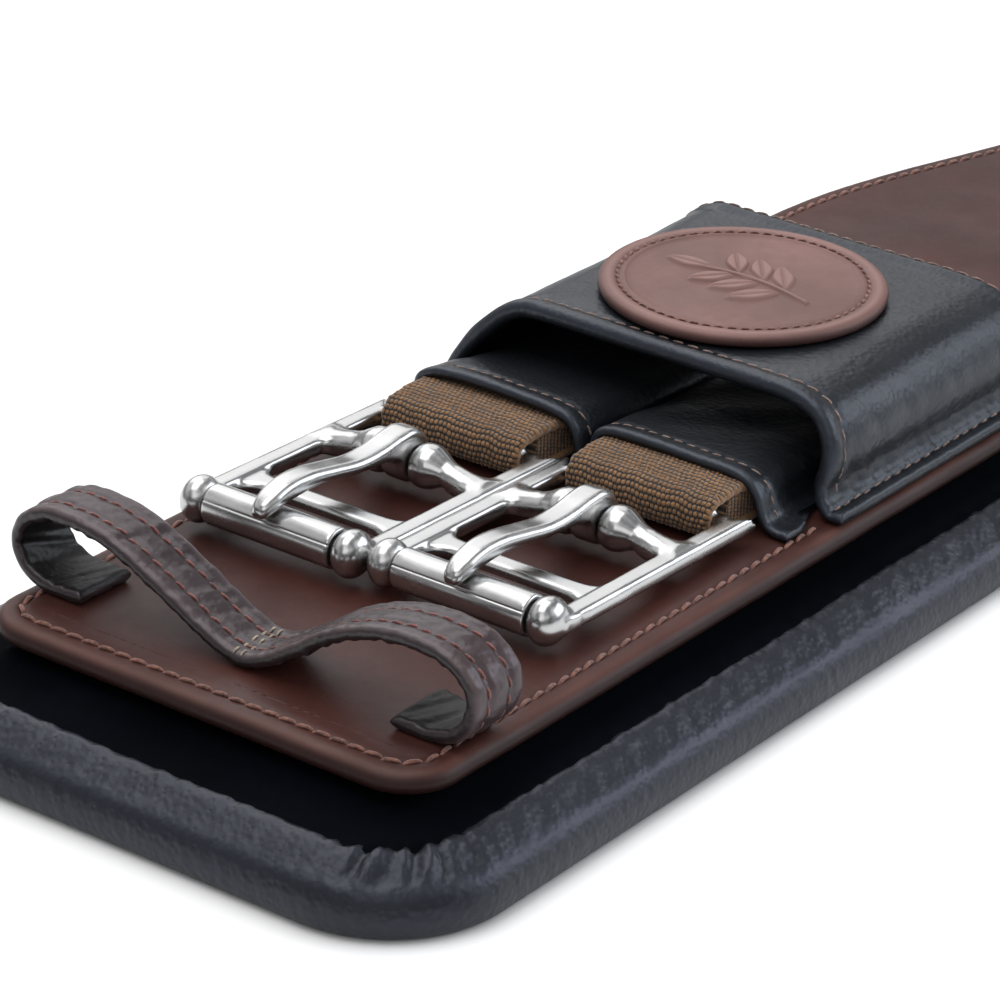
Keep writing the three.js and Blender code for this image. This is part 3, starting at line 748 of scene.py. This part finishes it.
def cover_strip():
    path = smooth_path([
        (-45.5, COVER_BASE), (-42.5, COVER_BASE), (-40.2, 23.3), (-38.9, 25.8), (-38.1, 28.2),
        (-36.2, 30.4), (-33, 31.4), (-24, 31.7), (-15, 31.9), (-8.5, 31.8), (-5, 31.5), (-2.6, 30.7),
        (-1.4, 29), (-1.1, 26), (-0.5, 23.5), (0.8, COVER_BASE), (2, 23.4), (2.7, 26), (3.5, 28.9),
        (5.4, 31.1), (9, 32), (16, 32.4), (26, 32.6), (33, 32.3), (37.7, 31.5), (40.6, 29.6),
        (41.3, 26.4), (41.9, 23.6), (43.4, COVER_BASE), (45.5, COVER_BASE),
    ], 380)
    length = arc_lengths(path)[-1]

    def edges(z):
        return COVER_FRONT + 0 * z, COVER_REAR + 0 * z

    def bead(w, width, z):
        return 0.12 * smoothstep(z, COVER_BASE, COVER_BASE + 5) * (1 - smoothstep(w, 1.6, 3.2))

    def dent(s, w, outer):
        from_foot = np.minimum(s, length - s)
        seam = -0.3 * bump_at(w, COVER_SEAM, 0.55) * smoothstep(from_foot, 3, 6)
        wrinkle = 0.22 * ripple(w + 0.3 * s, 71, 6, 5.0, 12.0) * bump_at(from_foot, 8.0, 6.0)
        slack = 0.25 * ripple(s + 0.9 * w, 72, 4, 14.0, 34.0) * smoothstep(w, 4, 12)
        return np.where(outer, seam + wrinkle + slack, slack)

    return Strip(path, 0.9, edges, dent, across=64, soften=0.9, bead=bead)


def sink_cover(mesh):
    """Lower the elastic cover towards its rear, where the elastic under it is thinner."""
    for vertex in mesh.vertices:
        u, v, z = (c / MM for c in vertex.co)
        rise = float(np.interp(u, [62.5, 65.5, 70.4, 84, 112], [1, 0.98, 0.93, 0.78, 0.68]))
        z = COVER_BASE + (z - COVER_BASE) * rise if z > COVER_BASE else z
        v *= float(np.interp(u, [65.5, 70.4, 73.3], [1, 0.975, 0.955]))
        limit = 45.6 - 4.2 * float(smoothstep(u, 68.0, 71.0))
        if abs(v) > limit:
            v = math.copysign(limit, v)
        vertex.co = Vector((u * MM, v * MM, z * MM))
    mesh.update()
    return mesh


# ---------------------------------------------------------------- round patch

def leaf_field(x, y, centre, turn, length, width):
    """Height share of one pointed leaf with a midrib."""
    dx, dy = x - centre[0], y - centre[1]
    along = dx * math.cos(turn) + dy * math.sin(turn)
    across = -dx * math.sin(turn) + dy * math.cos(turn)
    t = np.clip(np.abs(along) / length, 0, 1)
    half = width * (1 - t ** 1.7)
    body = smoothstep(half - np.abs(across), 0.0, 0.7) * (np.abs(along) < length)
    return body * (1 - 0.55 * bump_at(across, 0, 0.35))


def sprig_field(x, y):
    """A plain raised sprig: a curved stem, leaves in pairs and one at the tip."""
    field = np.zeros_like(x)
    bend = 3.0 * np.sin((y + 15) / 30 * math.pi)
    stem = smoothstep(0.75 - np.abs(x - bend + 1.5), 0.0, 0.5) * (y > -16) * (y < 9)
    field = np.maximum(field, stem * 0.8)
    for k, y0 in enumerate((-10.0, -4.0, 2.0)):
        for side in (-1, 1):
            tilt = math.radians(90 - side * 52)
            reach = 6.4 - 0.5 * k
            x0 = 3.0 * math.sin((y0 + 15) / 30 * math.pi) - 1.5
            centre = (x0 + math.cos(tilt) * (reach + 0.6), y0 + math.sin(tilt) * (reach + 0.6))
            field = np.maximum(field, leaf_field(x, y, centre, tilt, reach, 2.5))
    return np.maximum(field, leaf_field(x, y, (0.4, 13.0), math.radians(95), 6.0, 2.4))


def patch_mesh():
    flat = [(r, 1.0) for r in (*np.linspace(0.25, 24.2, 92), *np.linspace(24.4, 26.6, 12))]
    edge = [(26.9, 1.0), (27.3, 0.98), (27.7, 0.93), (28.05, 0.84), (28.3, 0.7), (28.4, 0.5), (28.3, 0.3),
            (28.0, 0.12), (27.2, 0.02), (24.0, 0.0), (12.0, 0.0), (0.3, 0.0)]
    rings = flat + edge
    count = 460
    angle = np.linspace(0, 2 * math.pi, count, endpoint=False)[None, :]
    r = np.array([ring[0] for ring in rings])[:, None]
    level = np.array([ring[1] for ring in rings])[:, None]
    x, y = r * np.cos(angle), r * np.sin(angle)
    top = (level > 0.9) * np.ones_like(angle)
    field = sprig_field(x, y) * (r < 22.5) * top
    pebble = ripple(x + 0.4 * y, 81, 5, 6.0, 16.0) * ripple(y - 0.3 * x, 82, 5, 6.0, 16.0)
    height = level * PATCH_THICK + 0.42 * field - 0.30 * top * (1 - field) * (r < 23.0)
    height = height - 0.22 * top * bump_at(r, PATCH_SEAM_RADIUS, 0.5) + 0.16 * top * bump_at(r, 22.9, 0.6)
    height = height + 0.05 * pebble * top
    z = PATCH_BOTTOM + height
    verts = np.stack([x, y, z], axis=-1).reshape(-1, 3)
    edge_dark = 0.7 * (1 - smoothstep(level, 0.55, 0.99)) + 0.35 * bump_at(r, PATCH_SEAM_RADIUS, 0.45) * top
    # Lighter on the raised sprig and along the rounded top of the rim: partly rubbed wear, partly painted
    # highlight.
    wear_and_highlight = np.clip(0.5 * field + 0.4 * bump_at(r, 26.4, 0.7) * top, 0, 1)
    attributes = {"rim": np.clip(edge_dark * np.ones_like(angle), 0, 1), "wear_and_highlight": wear_and_highlight}
    return new_mesh("tunnel_patch_leather", verts, tube_faces(len(rings), count), attributes)


def patch_stitches():
    places = []
    count = 62
    up = np.array([0.0, 0.0, 1.0])
    for k in range(count):
        a = 2 * math.pi * k / count
        out = np.array([math.cos(a), math.sin(a), 0.0])
        point = out * PATCH_SEAM_RADIUS + up * (PATCH_BOTTOM + PATCH_THICK - 0.15)
        places.append((point, np.cross(up, out), up))
    return stitch_mesh("tunnel_patch_stitching", places, 2.3, 0.3, 0.2, 0.3)


# ---------------------------------------------------------------- elastic

ELASTIC_HALF = 16.3


def weave_height(a, b):
    """Raised yarns in a brick pattern; a counts rows along the band and b yarns across it."""
    row = np.floor(a)
    fa = a - row - 0.5
    jitter = 0.12 * np.sin(row * 12.9898) + 0.5 * (row % 2)
    fb = (b + jitter) % 1.0 - 0.5
    column = np.floor(b + jitter)
    fuzz = np.abs(np.sin(row * 12.9898 + column * 78.233) * 437.585) % 1.0
    return (1 - np.abs(2 * fa) ** 1.7) * (1 - np.abs(2 * fb) ** 2.6) * (0.55 + 0.45 * fuzz)


def elastic_packing():
    """The folded-in layers between the top and the bottom of the elastic, seen only at its edges."""
    u = np.arange(57.9, 76.0, 0.2)
    low = np.interp(u, [57.9, 59.5, 63, 76], [25.2, 23.9, 23.3, 23.2])
    high = np.interp(u, [57.9, 60, 64, 68, 72, 76], [27.6, 28.75, 28.55, 27.7, 26.4, 25.3])
    share = np.linspace(0, 1, 26)
    side = np.concatenate([1 + 0 * share, -1 + 0 * share])[None, :]
    part = np.concatenate([share, share[::-1]])[None, :]
    z = low[:, None] + (high - low)[:, None] * part
    weave = weave_height(u[:, None] / 1.1 + 0 * z, z / 0.75 + 0.15 * ripple(u, 95, 4, 3.0, 8.0)[:, None])
    v = side * (15.7 + 0.35 * weave) * np.interp(u, [70.0, 76.0], [1.0, 0.877])[:, None]
    verts = np.stack([u[:, None] + 0 * z, v, z], axis=-1).reshape(-1, 3)
    return verts, z.shape, weave.ravel()


def elastic_mesh():
    half, edge, wrap_radius = 1.0, 0.9, 3.1
    woven_from_u, woven_length = 79.0, 38.0
    arc = np.linspace(math.pi * 0.47, math.pi * 1.5, 22)
    wrap = [(REAR_BAR_U + wrap_radius * math.cos(a), REAR_BAR_Z + wrap_radius * math.sin(a)) for a in arc]
    top = [
        (118, 24.75), (100, 24.8), (84, 25.2), (76, 26.2), (71, 27.7), (67, 28.8), (63, 29.5), (59, 29.65),
    ]
    bottom = [(60, 22.6), (70, 22.4), (85, 22.35), (118, 22.35)]
    path = smooth_path(top + wrap + bottom, 2400)
    s_all = arc_lengths(path)
    start = float(np.interp(-woven_from_u, -path[:900, 0], s_all[:900]))
    stop = start + woven_length
    s = np.concatenate([
        np.linspace(0, start, 16, endpoint=False),
        np.arange(start, stop, 0.11),
        np.linspace(stop, s_all[-1], 22),
    ])
    u = np.interp(s, s_all, path[:, 0])
    z = np.interp(s, s_all, path[:, 1])
    centre = np.stack([u, z], 1)
    normal = -normals_2d(centre)
    outer_v = np.linspace(-ELASTIC_HALF + edge, ELASTIC_HALF - edge, 280)
    inner_v = outer_v[::-1][::12]
    theta = np.linspace(math.pi / 2, -math.pi / 2, 9)[1:-1]
    side_v = ELASTIC_HALF - edge + edge * np.cos(theta)
    v = np.concatenate([outer_v, side_v, inner_v, -side_v[::-1]])[None, :]
    level = np.concatenate([1 + 0 * outer_v, np.sin(theta), -1 + 0 * inner_v, np.sin(theta[::-1])])[None, :]
    wobble = 0.2 * ripple(s, 91, 5, 1.6, 5.0)[:, None]
    pitch = np.interp(s, [start + 20.0, start + 26.0], [1.2, 0.9])
    a = np.cumsum(np.gradient(s) / pitch)[:, None] + 0.14 * ripple(v, 92, 5, 5.0, 14.0)
    b = v + 0.12 * ripple(s, 93, 5, 3.0, 9.0)[:, None]
    weave = weave_height(a, b)
    dense = ((s > start) & (s < stop)).astype(float)[:, None]
    outside = np.clip(level, 0, 1)
    crown = 0.25 * (1 - (v / ELASTIC_HALF) ** 2)
    yarn_lift = 0.42 * (weave - 0.5) + 0.05 * ripple(a * 3.1 + b * 1.7, 94, 5, 1.2, 4.0)
    reach = half * level + (yarn_lift * dense + crown) * outside
    side = wobble * np.sign(v) * (np.abs(v) / ELASTIC_HALF) ** 6
    uu = u[:, None] + normal[:, 0][:, None] * reach
    zz = z[:, None] + normal[:, 1][:, None] * reach
    vv = (v + side) * np.interp(uu, [70.0, 76.0], [1.0, 0.877])
    verts = np.stack([uu, vv, zz], axis=-1).reshape(-1, 3)
    shown = weave * dense * outside + (1 - dense * outside) * 0.5
    packing, packing_shape, packing_weave = elastic_packing()
    faces = tube_faces(*uu.shape) + tube_faces(*packing_shape, len(verts))
    verts = np.concatenate([verts, packing])
    shown = np.concatenate([np.broadcast_to(shown, weave.shape).ravel(), packing_weave])
    return new_mesh("elastic_band", verts, faces, {"weave": np.clip(shown, 0, 1)})


# ---------------------------------------------------------------- steel hardware

def skin(name, field, low, high, step):
    """Closed surface where a distance field changes sign, one vertex in each cell it crosses."""
    axes = [np.arange(a, b + step, step) for a, b in zip(low, high)]
    value = field(*np.meshgrid(*axes, indexing="ij"))
    inside = value < 0
    shape = tuple(n - 1 for n in value.shape)
    total, hits = np.zeros(shape + (3,)), np.zeros(shape)
    corners = list(itertools.product((0, 1), repeat=3))

    def corner(array, at):
        return array[tuple(slice(k, n + k) for k, n in zip(at, shape))]

    for start in corners:
        for axis in range(3):
            if start[axis]:
                continue
            stop = tuple(k + (axis == i) for i, k in enumerate(start))
            va, vb = corner(value, start), corner(value, stop)
            crossed = (va < 0) != (vb < 0)
            part = np.where(crossed, va / np.where(crossed, va - vb, 1.0), 0.0)
            for i in range(3):
                total[..., i] += crossed * (start[i] + (part if i == axis else 0.0))
            hits += crossed
    used = hits > 0
    number = np.full(shape, -1)
    number[used] = np.arange(int(used.sum()))
    cell = np.argwhere(used)
    verts = (cell + total[used] / hits[used][:, None]) * step + np.array(low, float)
    faces = []
    for axis in range(3):
        one, two = [i for i in range(3) if i != axis]
        here = [slice(1, -1)] * 3
        here[axis] = slice(0, -1)
        there = list(here)
        there[axis] = slice(1, None)
        first, second = inside[tuple(here)], inside[tuple(there)]
        spots = np.argwhere(first != second)
        flip = first[tuple(spots.T)] == (axis == 1)
        base = spots.copy()
        base[:, one] += 1
        base[:, two] += 1
        quad = []
        for da, db in ((0, 0), (1, 0), (1, 1), (0, 1)):
            at = base.copy()
            at[:, one] -= da
            at[:, two] -= db
            quad.append(number[tuple(at.T)])
        quad = np.stack(quad, 1)
        quad[flip] = quad[flip][:, ::-1]
        faces.extend(quad.tolist())
    return new_mesh(name, verts.tolist(), faces)


def blend(a, b, reach):
    """The nearer of two distances, with a fillet where they meet."""
    close = np.maximum(reach - np.abs(a - b), 0.0) / reach
    return np.minimum(a, b) - close * close * reach * 0.25


def soft_slab(flat, thick, edge):
    """Distance to a plate from its outline distance and its thickness distance."""
    x, y = flat + edge, thick + edge
    return np.hypot(np.maximum(x, 0), np.maximum(y, 0)) + np.minimum(np.maximum(x, y), 0) - edge


def frame_field(u, v, z):
    w = np.abs(v)
    tip = (u - 53.9 - 1.31 * (w - 17.0)) / 1.648
    rail = np.maximum(np.maximum(np.abs(w - 19.1) - 2.1, tip), 0.8 - u)
    cross = np.maximum(np.abs(u - 14.0) - 2.35 - 0.25 * (w / 17.0) ** 2, w - 18.0)
    arm = np.maximum(np.abs(u - PIVOT_U) - 1.5, np.maximum(12.5 - w, w - 18.0))
    flat = blend(rail, arm, 4.0)
    front = np.maximum(np.abs(u - 1.6) - 2.0, np.maximum(15.4 - w, w - 20.2))
    rear = np.maximum(np.abs(u - REAR_BAR_U) - 1.5, np.maximum(15.8 - w, w - 18.0))
    flat = blend(blend(flat, front, 2.5), rear, 1.6)
    level = z + 0.024 * u
    plate = soft_slab(flat, np.abs(level - 26.3) - 1.65, 1.05)
    low_plate = soft_slab(blend(rail, cross, 4.6), np.abs(level - 25.95) - 1.3, 1.15)
    plate = blend(plate, low_plate, 0.5)
    along = np.array([3.35, 3.9, 4.9, 6.1, 7.4, 8.7, 10.2, 12.0, 14.0, 16.0, 17.6])
    radius = np.interp(w, along, [3.5, 4.2, 4.6, 4.65, 4.35, 3.6, 2.85, 2.5, 2.4, 2.2, 1.9])
    axis_z = PIVOT_Z - 0.2 - 1.75 * smoothstep(w, 8.0, 17.5)
    lathe = np.hypot(u - PIVOT_U, (z - axis_z) / 0.94) - radius
    lathe = np.maximum(lathe, np.maximum(3.35 - w, w - 18.2))
    solid = blend(plate, lathe, 3.0)
    ball = np.sqrt(u * u + (z - ROLLER_Z) ** 2 + ((w - 17.7) * 4.6 / 3.5) ** 2)
    knob = soft_slab((ball - 4.6) * 0.85, 15.0 - w, 0.3)
    solid = blend(solid, knob, 0.9)
    pin = np.maximum(np.hypot(u - PIVOT_U, z - PIVOT_Z) - 2.0, w - 5.0)
    solid = np.minimum(solid, pin)
    solid = np.minimum(solid, np.maximum(np.hypot(u, z - ROLLER_Z) - 2.1, w - 17.5))
    drop = smoothstep(w, 13.8, 16.2)
    bar = np.hypot(u - REAR_BAR_U, z - REAR_BAR_Z + 1.15 * drop) - 2.0 + 0.5 * drop
    return blend(solid, np.maximum(bar, w - 17.8), 0.8)


def buckle_frame_mesh():
    return skin("buckle_frame_steel", frame_field, (-5.4, -22.0, 21.0), (60.6, 22.0, 32.6), 0.36)


def outline_distance(x, y, outline):
    """Signed distance from a closed outline, negative inside it."""
    nearest = np.full(x.shape, 1e9)
    within = np.zeros(x.shape, bool)
    for (ax, ay), (bx, by) in zip(outline, np.roll(outline, -1, axis=0)):
        dx, dy = bx - ax, by - ay
        t = np.clip(((x - ax) * dx + (y - ay) * dy) / max(dx * dx + dy * dy, 1e-9), 0, 1)
        nearest = np.minimum(nearest, np.hypot(x - ax - t * dx, y - ay - t * dy))
        over = (ay > y) != (by > y)
        at = ax + (y - ay) * dx / (dy if abs(dy) > 1e-9 else 1e-9)
        within ^= over & (x < at)
    return np.where(within, -nearest, nearest)


def tongue_mesh():
    outline = smooth_path([
        (-5.4, 30.2), (-3.6, 30.3), (-1, 31.25), (3, 31.7), (8, 32), (14, 31.3), (19, 30.3), (25, 29.8),
        (30, 29.4), (32.8, 28.3), (33.6, 26), (35.4, 23.7), (38, 22.8), (40.9, 23.8), (42.6, 26.6),
        (42.3, 29.7), (40.4, 32.6), (37.3, 33.9), (33.5, 33.8), (28, 33), (22, 32.9), (15, 34.1),
        (8, 35.3), (2, 35.4), (-2.4, 34.2), (-5.2, 32.4),
    ], 150, closed=True)

    def field(u, v, z):
        flat = outline_distance(u[:, 0, :], z[:, 0, :], outline)[:, None, :]
        half = np.interp(u, [-5, -2, 6, 28, 36], [1.9, 2.45, 2.75, 2.85, 3.0])
        body = soft_slab(flat + np.zeros_like(u), np.abs(v) - half, 1.45)
        return np.maximum(body, 2.3 - np.hypot(u - PIVOT_U, z - PIVOT_Z))

    return skin("tongue_steel", field, (-6.4, -3.9, 22.0), (43.6, 3.9, 36.4), 0.3)


def roller_mesh():
    half, radius, bore = 14.7, 4.0, 2.35
    lip = [(bore, 0.0), (3.55, 0.0), (3.82, 0.1), (3.98, 0.4), (radius, 0.8)]
    profile = [(r, inset - half) for r, inset in lip]
    profile += [(radius, v) for v in np.linspace(-half + 2, half - 2, 9)]
    profile += [(r, half - inset) for r, inset in lip[::-1]]
    seam = math.radians(150)
    coarse = np.linspace(0, 2 * math.pi, 90, endpoint=False)
    coarse = coarse[np.abs(coarse - seam) > 0.13]
    fine = np.array([0.02, 0.045, 0.07, 0.12])
    angle = np.sort(np.concatenate([coarse, seam - fine, seam + fine]))
    dip = 0.22 * (np.abs(angle - seam) < 0.03) + 0.05 * (np.abs(np.abs(angle - seam) - 0.045) < 0.01)
    verts = []
    for r, v in profile:
        for a, d in zip(angle, dip):
            rr = r - d * (r > 3.0)
            verts.append((rr * math.cos(a), v, ROLLER_Z + rr * math.sin(a)))
    faces = grid_faces(len(profile), len(angle), wrap_rows=True, wrap_cols=True)
    return new_mesh("roller_steel", verts, faces)


# ---------------------------------------------------------------- put everything together

liner_pad()
panel()

keeper = keeper_strip()
keeper_leather = keeper.build("keeper_leather_strip")
two_tone(keeper_leather, KEEPER, LINING, keeper.inside)
keeper_rows = sum((keeper.stitches(seam, 3.0, 9.0, -0.12) for seam in KEEPER_SEAMS), [])
keeper_thread = stitch_mesh("keeper_stitching", keeper_rows, 2.85, 0.3, 0.14, 0.2)
middle = keeper.s[np.argmin(np.abs(keeper.path[:, 0]) + np.abs(keeper.path[:, 1] - 22.55))]
ties = []
for shift in (-1.0, 1.0):
    ties += keeper.cross_stitches(middle + shift, np.arange(1.5, 13.0, 2.45), 0.05)
tie_thread = stitch_mesh("keeper_tie_stitching", ties, 2.3, 0.24, 0.12, 0.2)

tunnel = tunnel_strip()
tunnel_leather = tunnel.build("tunnel_leather")
two_tone(tunnel_leather, BLACK, LINING, tunnel.inside)
tunnel_rows = sum((tunnel.stitches(seam, 3.4, 6.0, -0.12) for seam in TUNNEL_SEAMS), [])
for foot in (TUNNEL_FOOT_SEAM, tunnel.s[-1] - TUNNEL_FOOT_SEAM):
    tunnel_rows += tunnel.cross_stitches(foot, np.arange(3.0, 73.0, 3.5), 0.1)
tunnel_thread = stitch_mesh("tunnel_stitching", tunnel_rows, 3.2, 0.27, 0.14, 0.25)

cover = cover_strip()
cover_leather = sink_cover(cover.build("elastic_cover_leather"))
two_tone(cover_leather, BLACK, LINING, cover.inside)
cover_rows = cover.stitches(COVER_SEAM, 2.9, 5.0, -0.1)
cover_thread = sink_cover(stitch_mesh("cover_stitching", cover_rows, 2.7, 0.24, 0.12, 0.25))

PATCH_PLACE = (PATCH_U, PATCH_V, 0)
# piece, mesh, material, record slot, the CAD node it replaces, place at its end
GIRTH_PIECES = (
    ("keeper_leather", keeper_leather, KEEPER, "keeper_leather", "keeper_strap", (0, 0, 0)),
    ("keeper_stitching", keeper_thread, KEEPER_THREAD, "keeper_leather", None, (0, 0, 0)),
    ("keeper_tie", tie_thread, CREAM_THREAD, "keeper_leather", None, (0, 0, 0)),
    ("tunnel_leather", tunnel_leather, BLACK, "black_leather", "billet_tunnel", (0, 0, 0)),
    ("tunnel_stitching", tunnel_thread, BEIGE_THREAD, "black_leather", None, (0, 0, 0)),
    ("cover_leather", cover_leather, BLACK, "black_leather", "elastic_cover", (0, 0, 0)),
    ("cover_stitching", cover_thread, BEIGE_THREAD, "black_leather", None, (0, 0, 0)),
    ("patch_leather", patch_mesh(), PATCH_BROWN, "patch_leather", "tunnel_patch", PATCH_PLACE),
    ("patch_stitching", patch_stitches(), BRICK_THREAD, "patch_leather", None, PATCH_PLACE),
)
# piece, mesh, material, record slot, the CAD node it replaces, body
BUCKLE_PIECES = (
    ("elastic_band", elastic_mesh(), ELASTIC, "elastic_weave", "elastic", "elastic_loop"),
    ("buckle_steel", buckle_frame_mesh(), STEEL, "polished_steel", "buckle_frame", "buckle"),
    ("tongue_steel", tongue_mesh(), STEEL, "polished_steel", "tongue", "prong"),
    ("roller_steel", roller_mesh(), STEEL, "polished_steel", "roller", "roller_tube"),
)

for end in ENDS:
    for piece, mesh, material, slot, node, place in GIRTH_PIECES:
        replaced = [f"{end}_{node}"] if node else []
        add_piece(f"{end}_{piece}", mesh, material, "girth", replaced, end, place)
    for which, v, u in BUCKLES:
        stem = f"{end}_{which}"
        for piece, mesh, material, slot, node, body in BUCKLE_PIECES:
            replaced = [f"{stem}_{node}"]
            add_piece(f"{stem}_{piece}", mesh, material, f"{stem}_{body}", replaced, end, (u, v, 0))

for node, material in (("foam_core", FOAM), ("reinforcing_web", WEB)):
    obj = bpy.data.objects[node]
    obj.data.materials.clear()
    obj.data.materials.append(material)


# ---------------------------------------------------------------- camera, light and floor

def set_camera():
    data = bpy.data.cameras.new("camera")
    data.sensor_width = 36.0
    data.lens = 164.1
    data.clip_start, data.clip_end = 0.01, 50.0
    camera = bpy.data.objects.new("camera", data)
    bpy.context.scene.collection.objects.link(camera)
    azimuth, elevation, roll = (math.radians(d) for d in (-53.87, 25.36, 1.95))
    back = Vector((math.sin(azimuth) * math.cos(elevation), -math.cos(azimuth) * math.cos(elevation),
                   math.sin(elevation)))
    right = Vector((math.cos(azimuth), math.sin(azimuth), 0.0))
    up = back.cross(right)
    tilted = right * math.cos(roll) + up * math.sin(roll)
    up = back.cross(tilted)
    aim = Vector((-0.30956, -0.01315, 0.0366))
    place = aim + back * 0.8171
    turn = Matrix((tilted, up, back)).transposed()
    camera.matrix_world = Matrix.Translation(place) @ turn.to_4x4()
    bpy.context.scene.camera = camera


def area_light(name, place, aim, size, power, colour=(1, 1, 1)):
    data = bpy.data.lights.new(name, "AREA")
    data.shape = "RECTANGLE"
    data.size, data.size_y = size
    data.energy = power
    data.color = colour
    light = bpy.data.objects.new(name, data)
    bpy.context.scene.collection.objects.link(light)
    light.location = place
    light.rotation_euler = (Vector(aim) - Vector(place)).to_track_quat("-Z", "Y").to_euler()


def studio():
    scene = bpy.context.scene
    scene.view_settings.view_transform = "Standard"
    world = bpy.data.worlds.new("studio")
    scene.world = world
    world.use_nodes = True
    tree = world.node_tree
    background = tree.nodes["Background"]
    where = coordinates(tree, "Generated")
    height = add_node(tree, "SeparateXYZ", {"Vector": where}).outputs["Z"]
    sky = ramp(tree, grey_range(tree, height, 0.0, 1.0, -1.0, 1.0), [
        (0.0, (0.55, 0.55, 0.56)), (0.5, (0.30, 0.30, 0.31)), (0.62, (0.42, 0.42, 0.43)),
        (0.76, (1.0, 1.0, 1.0)), (1.0, (1.25, 1.25, 1.25)),
    ])
    panels = add_node(tree, "TexNoise", {"Vector": where, "Scale": 1.7, "Detail": 1.0})
    dark = ramp(tree, panels.outputs["Fac"], [(0.40, (0.22, 0.22, 0.23)), (0.56, (1.0, 1.0, 1.0))])
    glossy = mix_colour(tree, 1.0, sky, dark, "MULTIPLY")
    ray = add_node(tree, "LightPath", {})
    seen = mix_colour(tree, ray.outputs["Is Glossy Ray"], sky, glossy)
    seen = mix_colour(tree, ray.outputs["Is Camera Ray"], seen, (0.93, 0.93, 0.94))
    plug(tree, seen, background.inputs["Color"])
    background.inputs["Strength"].default_value = 0.9
    area_light("overhead", (-0.35, 0.25, 1.3), (-0.3, 0.0, 0.0), (1.4, 1.0), 11.0)
    area_light("rear_key", (0.5, 0.9, 0.9), (-0.3, 0.0, 0.03), (1.5, 1.1), 6.5)
    area_light("side_glow", (0.45, -0.75, 0.5), (-0.2, 0.0, 0.03), (1.0, 0.6), 5.5, (0.86, 0.92, 1.0))
    area_light("front_fill", (-1.3, -0.5, 0.7), (-0.3, 0.0, 0.03), (0.6, 0.6), 1.0)

    material, tree, shader = new_material("pale_floor", {"Roughness": 0.7, "Specular IOR Level": 0.2})
    tone = ramp(tree, noise(tree, 3.0, 2.0), [(0.0, (0.76, 0.76, 0.765)), (1.0, (0.80, 0.80, 0.80))])
    plug(tree, tone, shader.inputs["Base Color"])
    mesh = bpy.data.meshes.new("floor")
    reach = 6.0
    mesh.from_pydata([(-reach, -reach, 0), (reach, -reach, 0), (reach, reach, 0), (-reach, reach, 0)],
                     [], [(0, 1, 2, 3)])
    mesh.materials.append(material)
    floor = bpy.data.objects.new("floor", mesh)
    bpy.context.scene.collection.objects.link(floor)
    floor.location.z = -0.0002


set_camera()
studio()
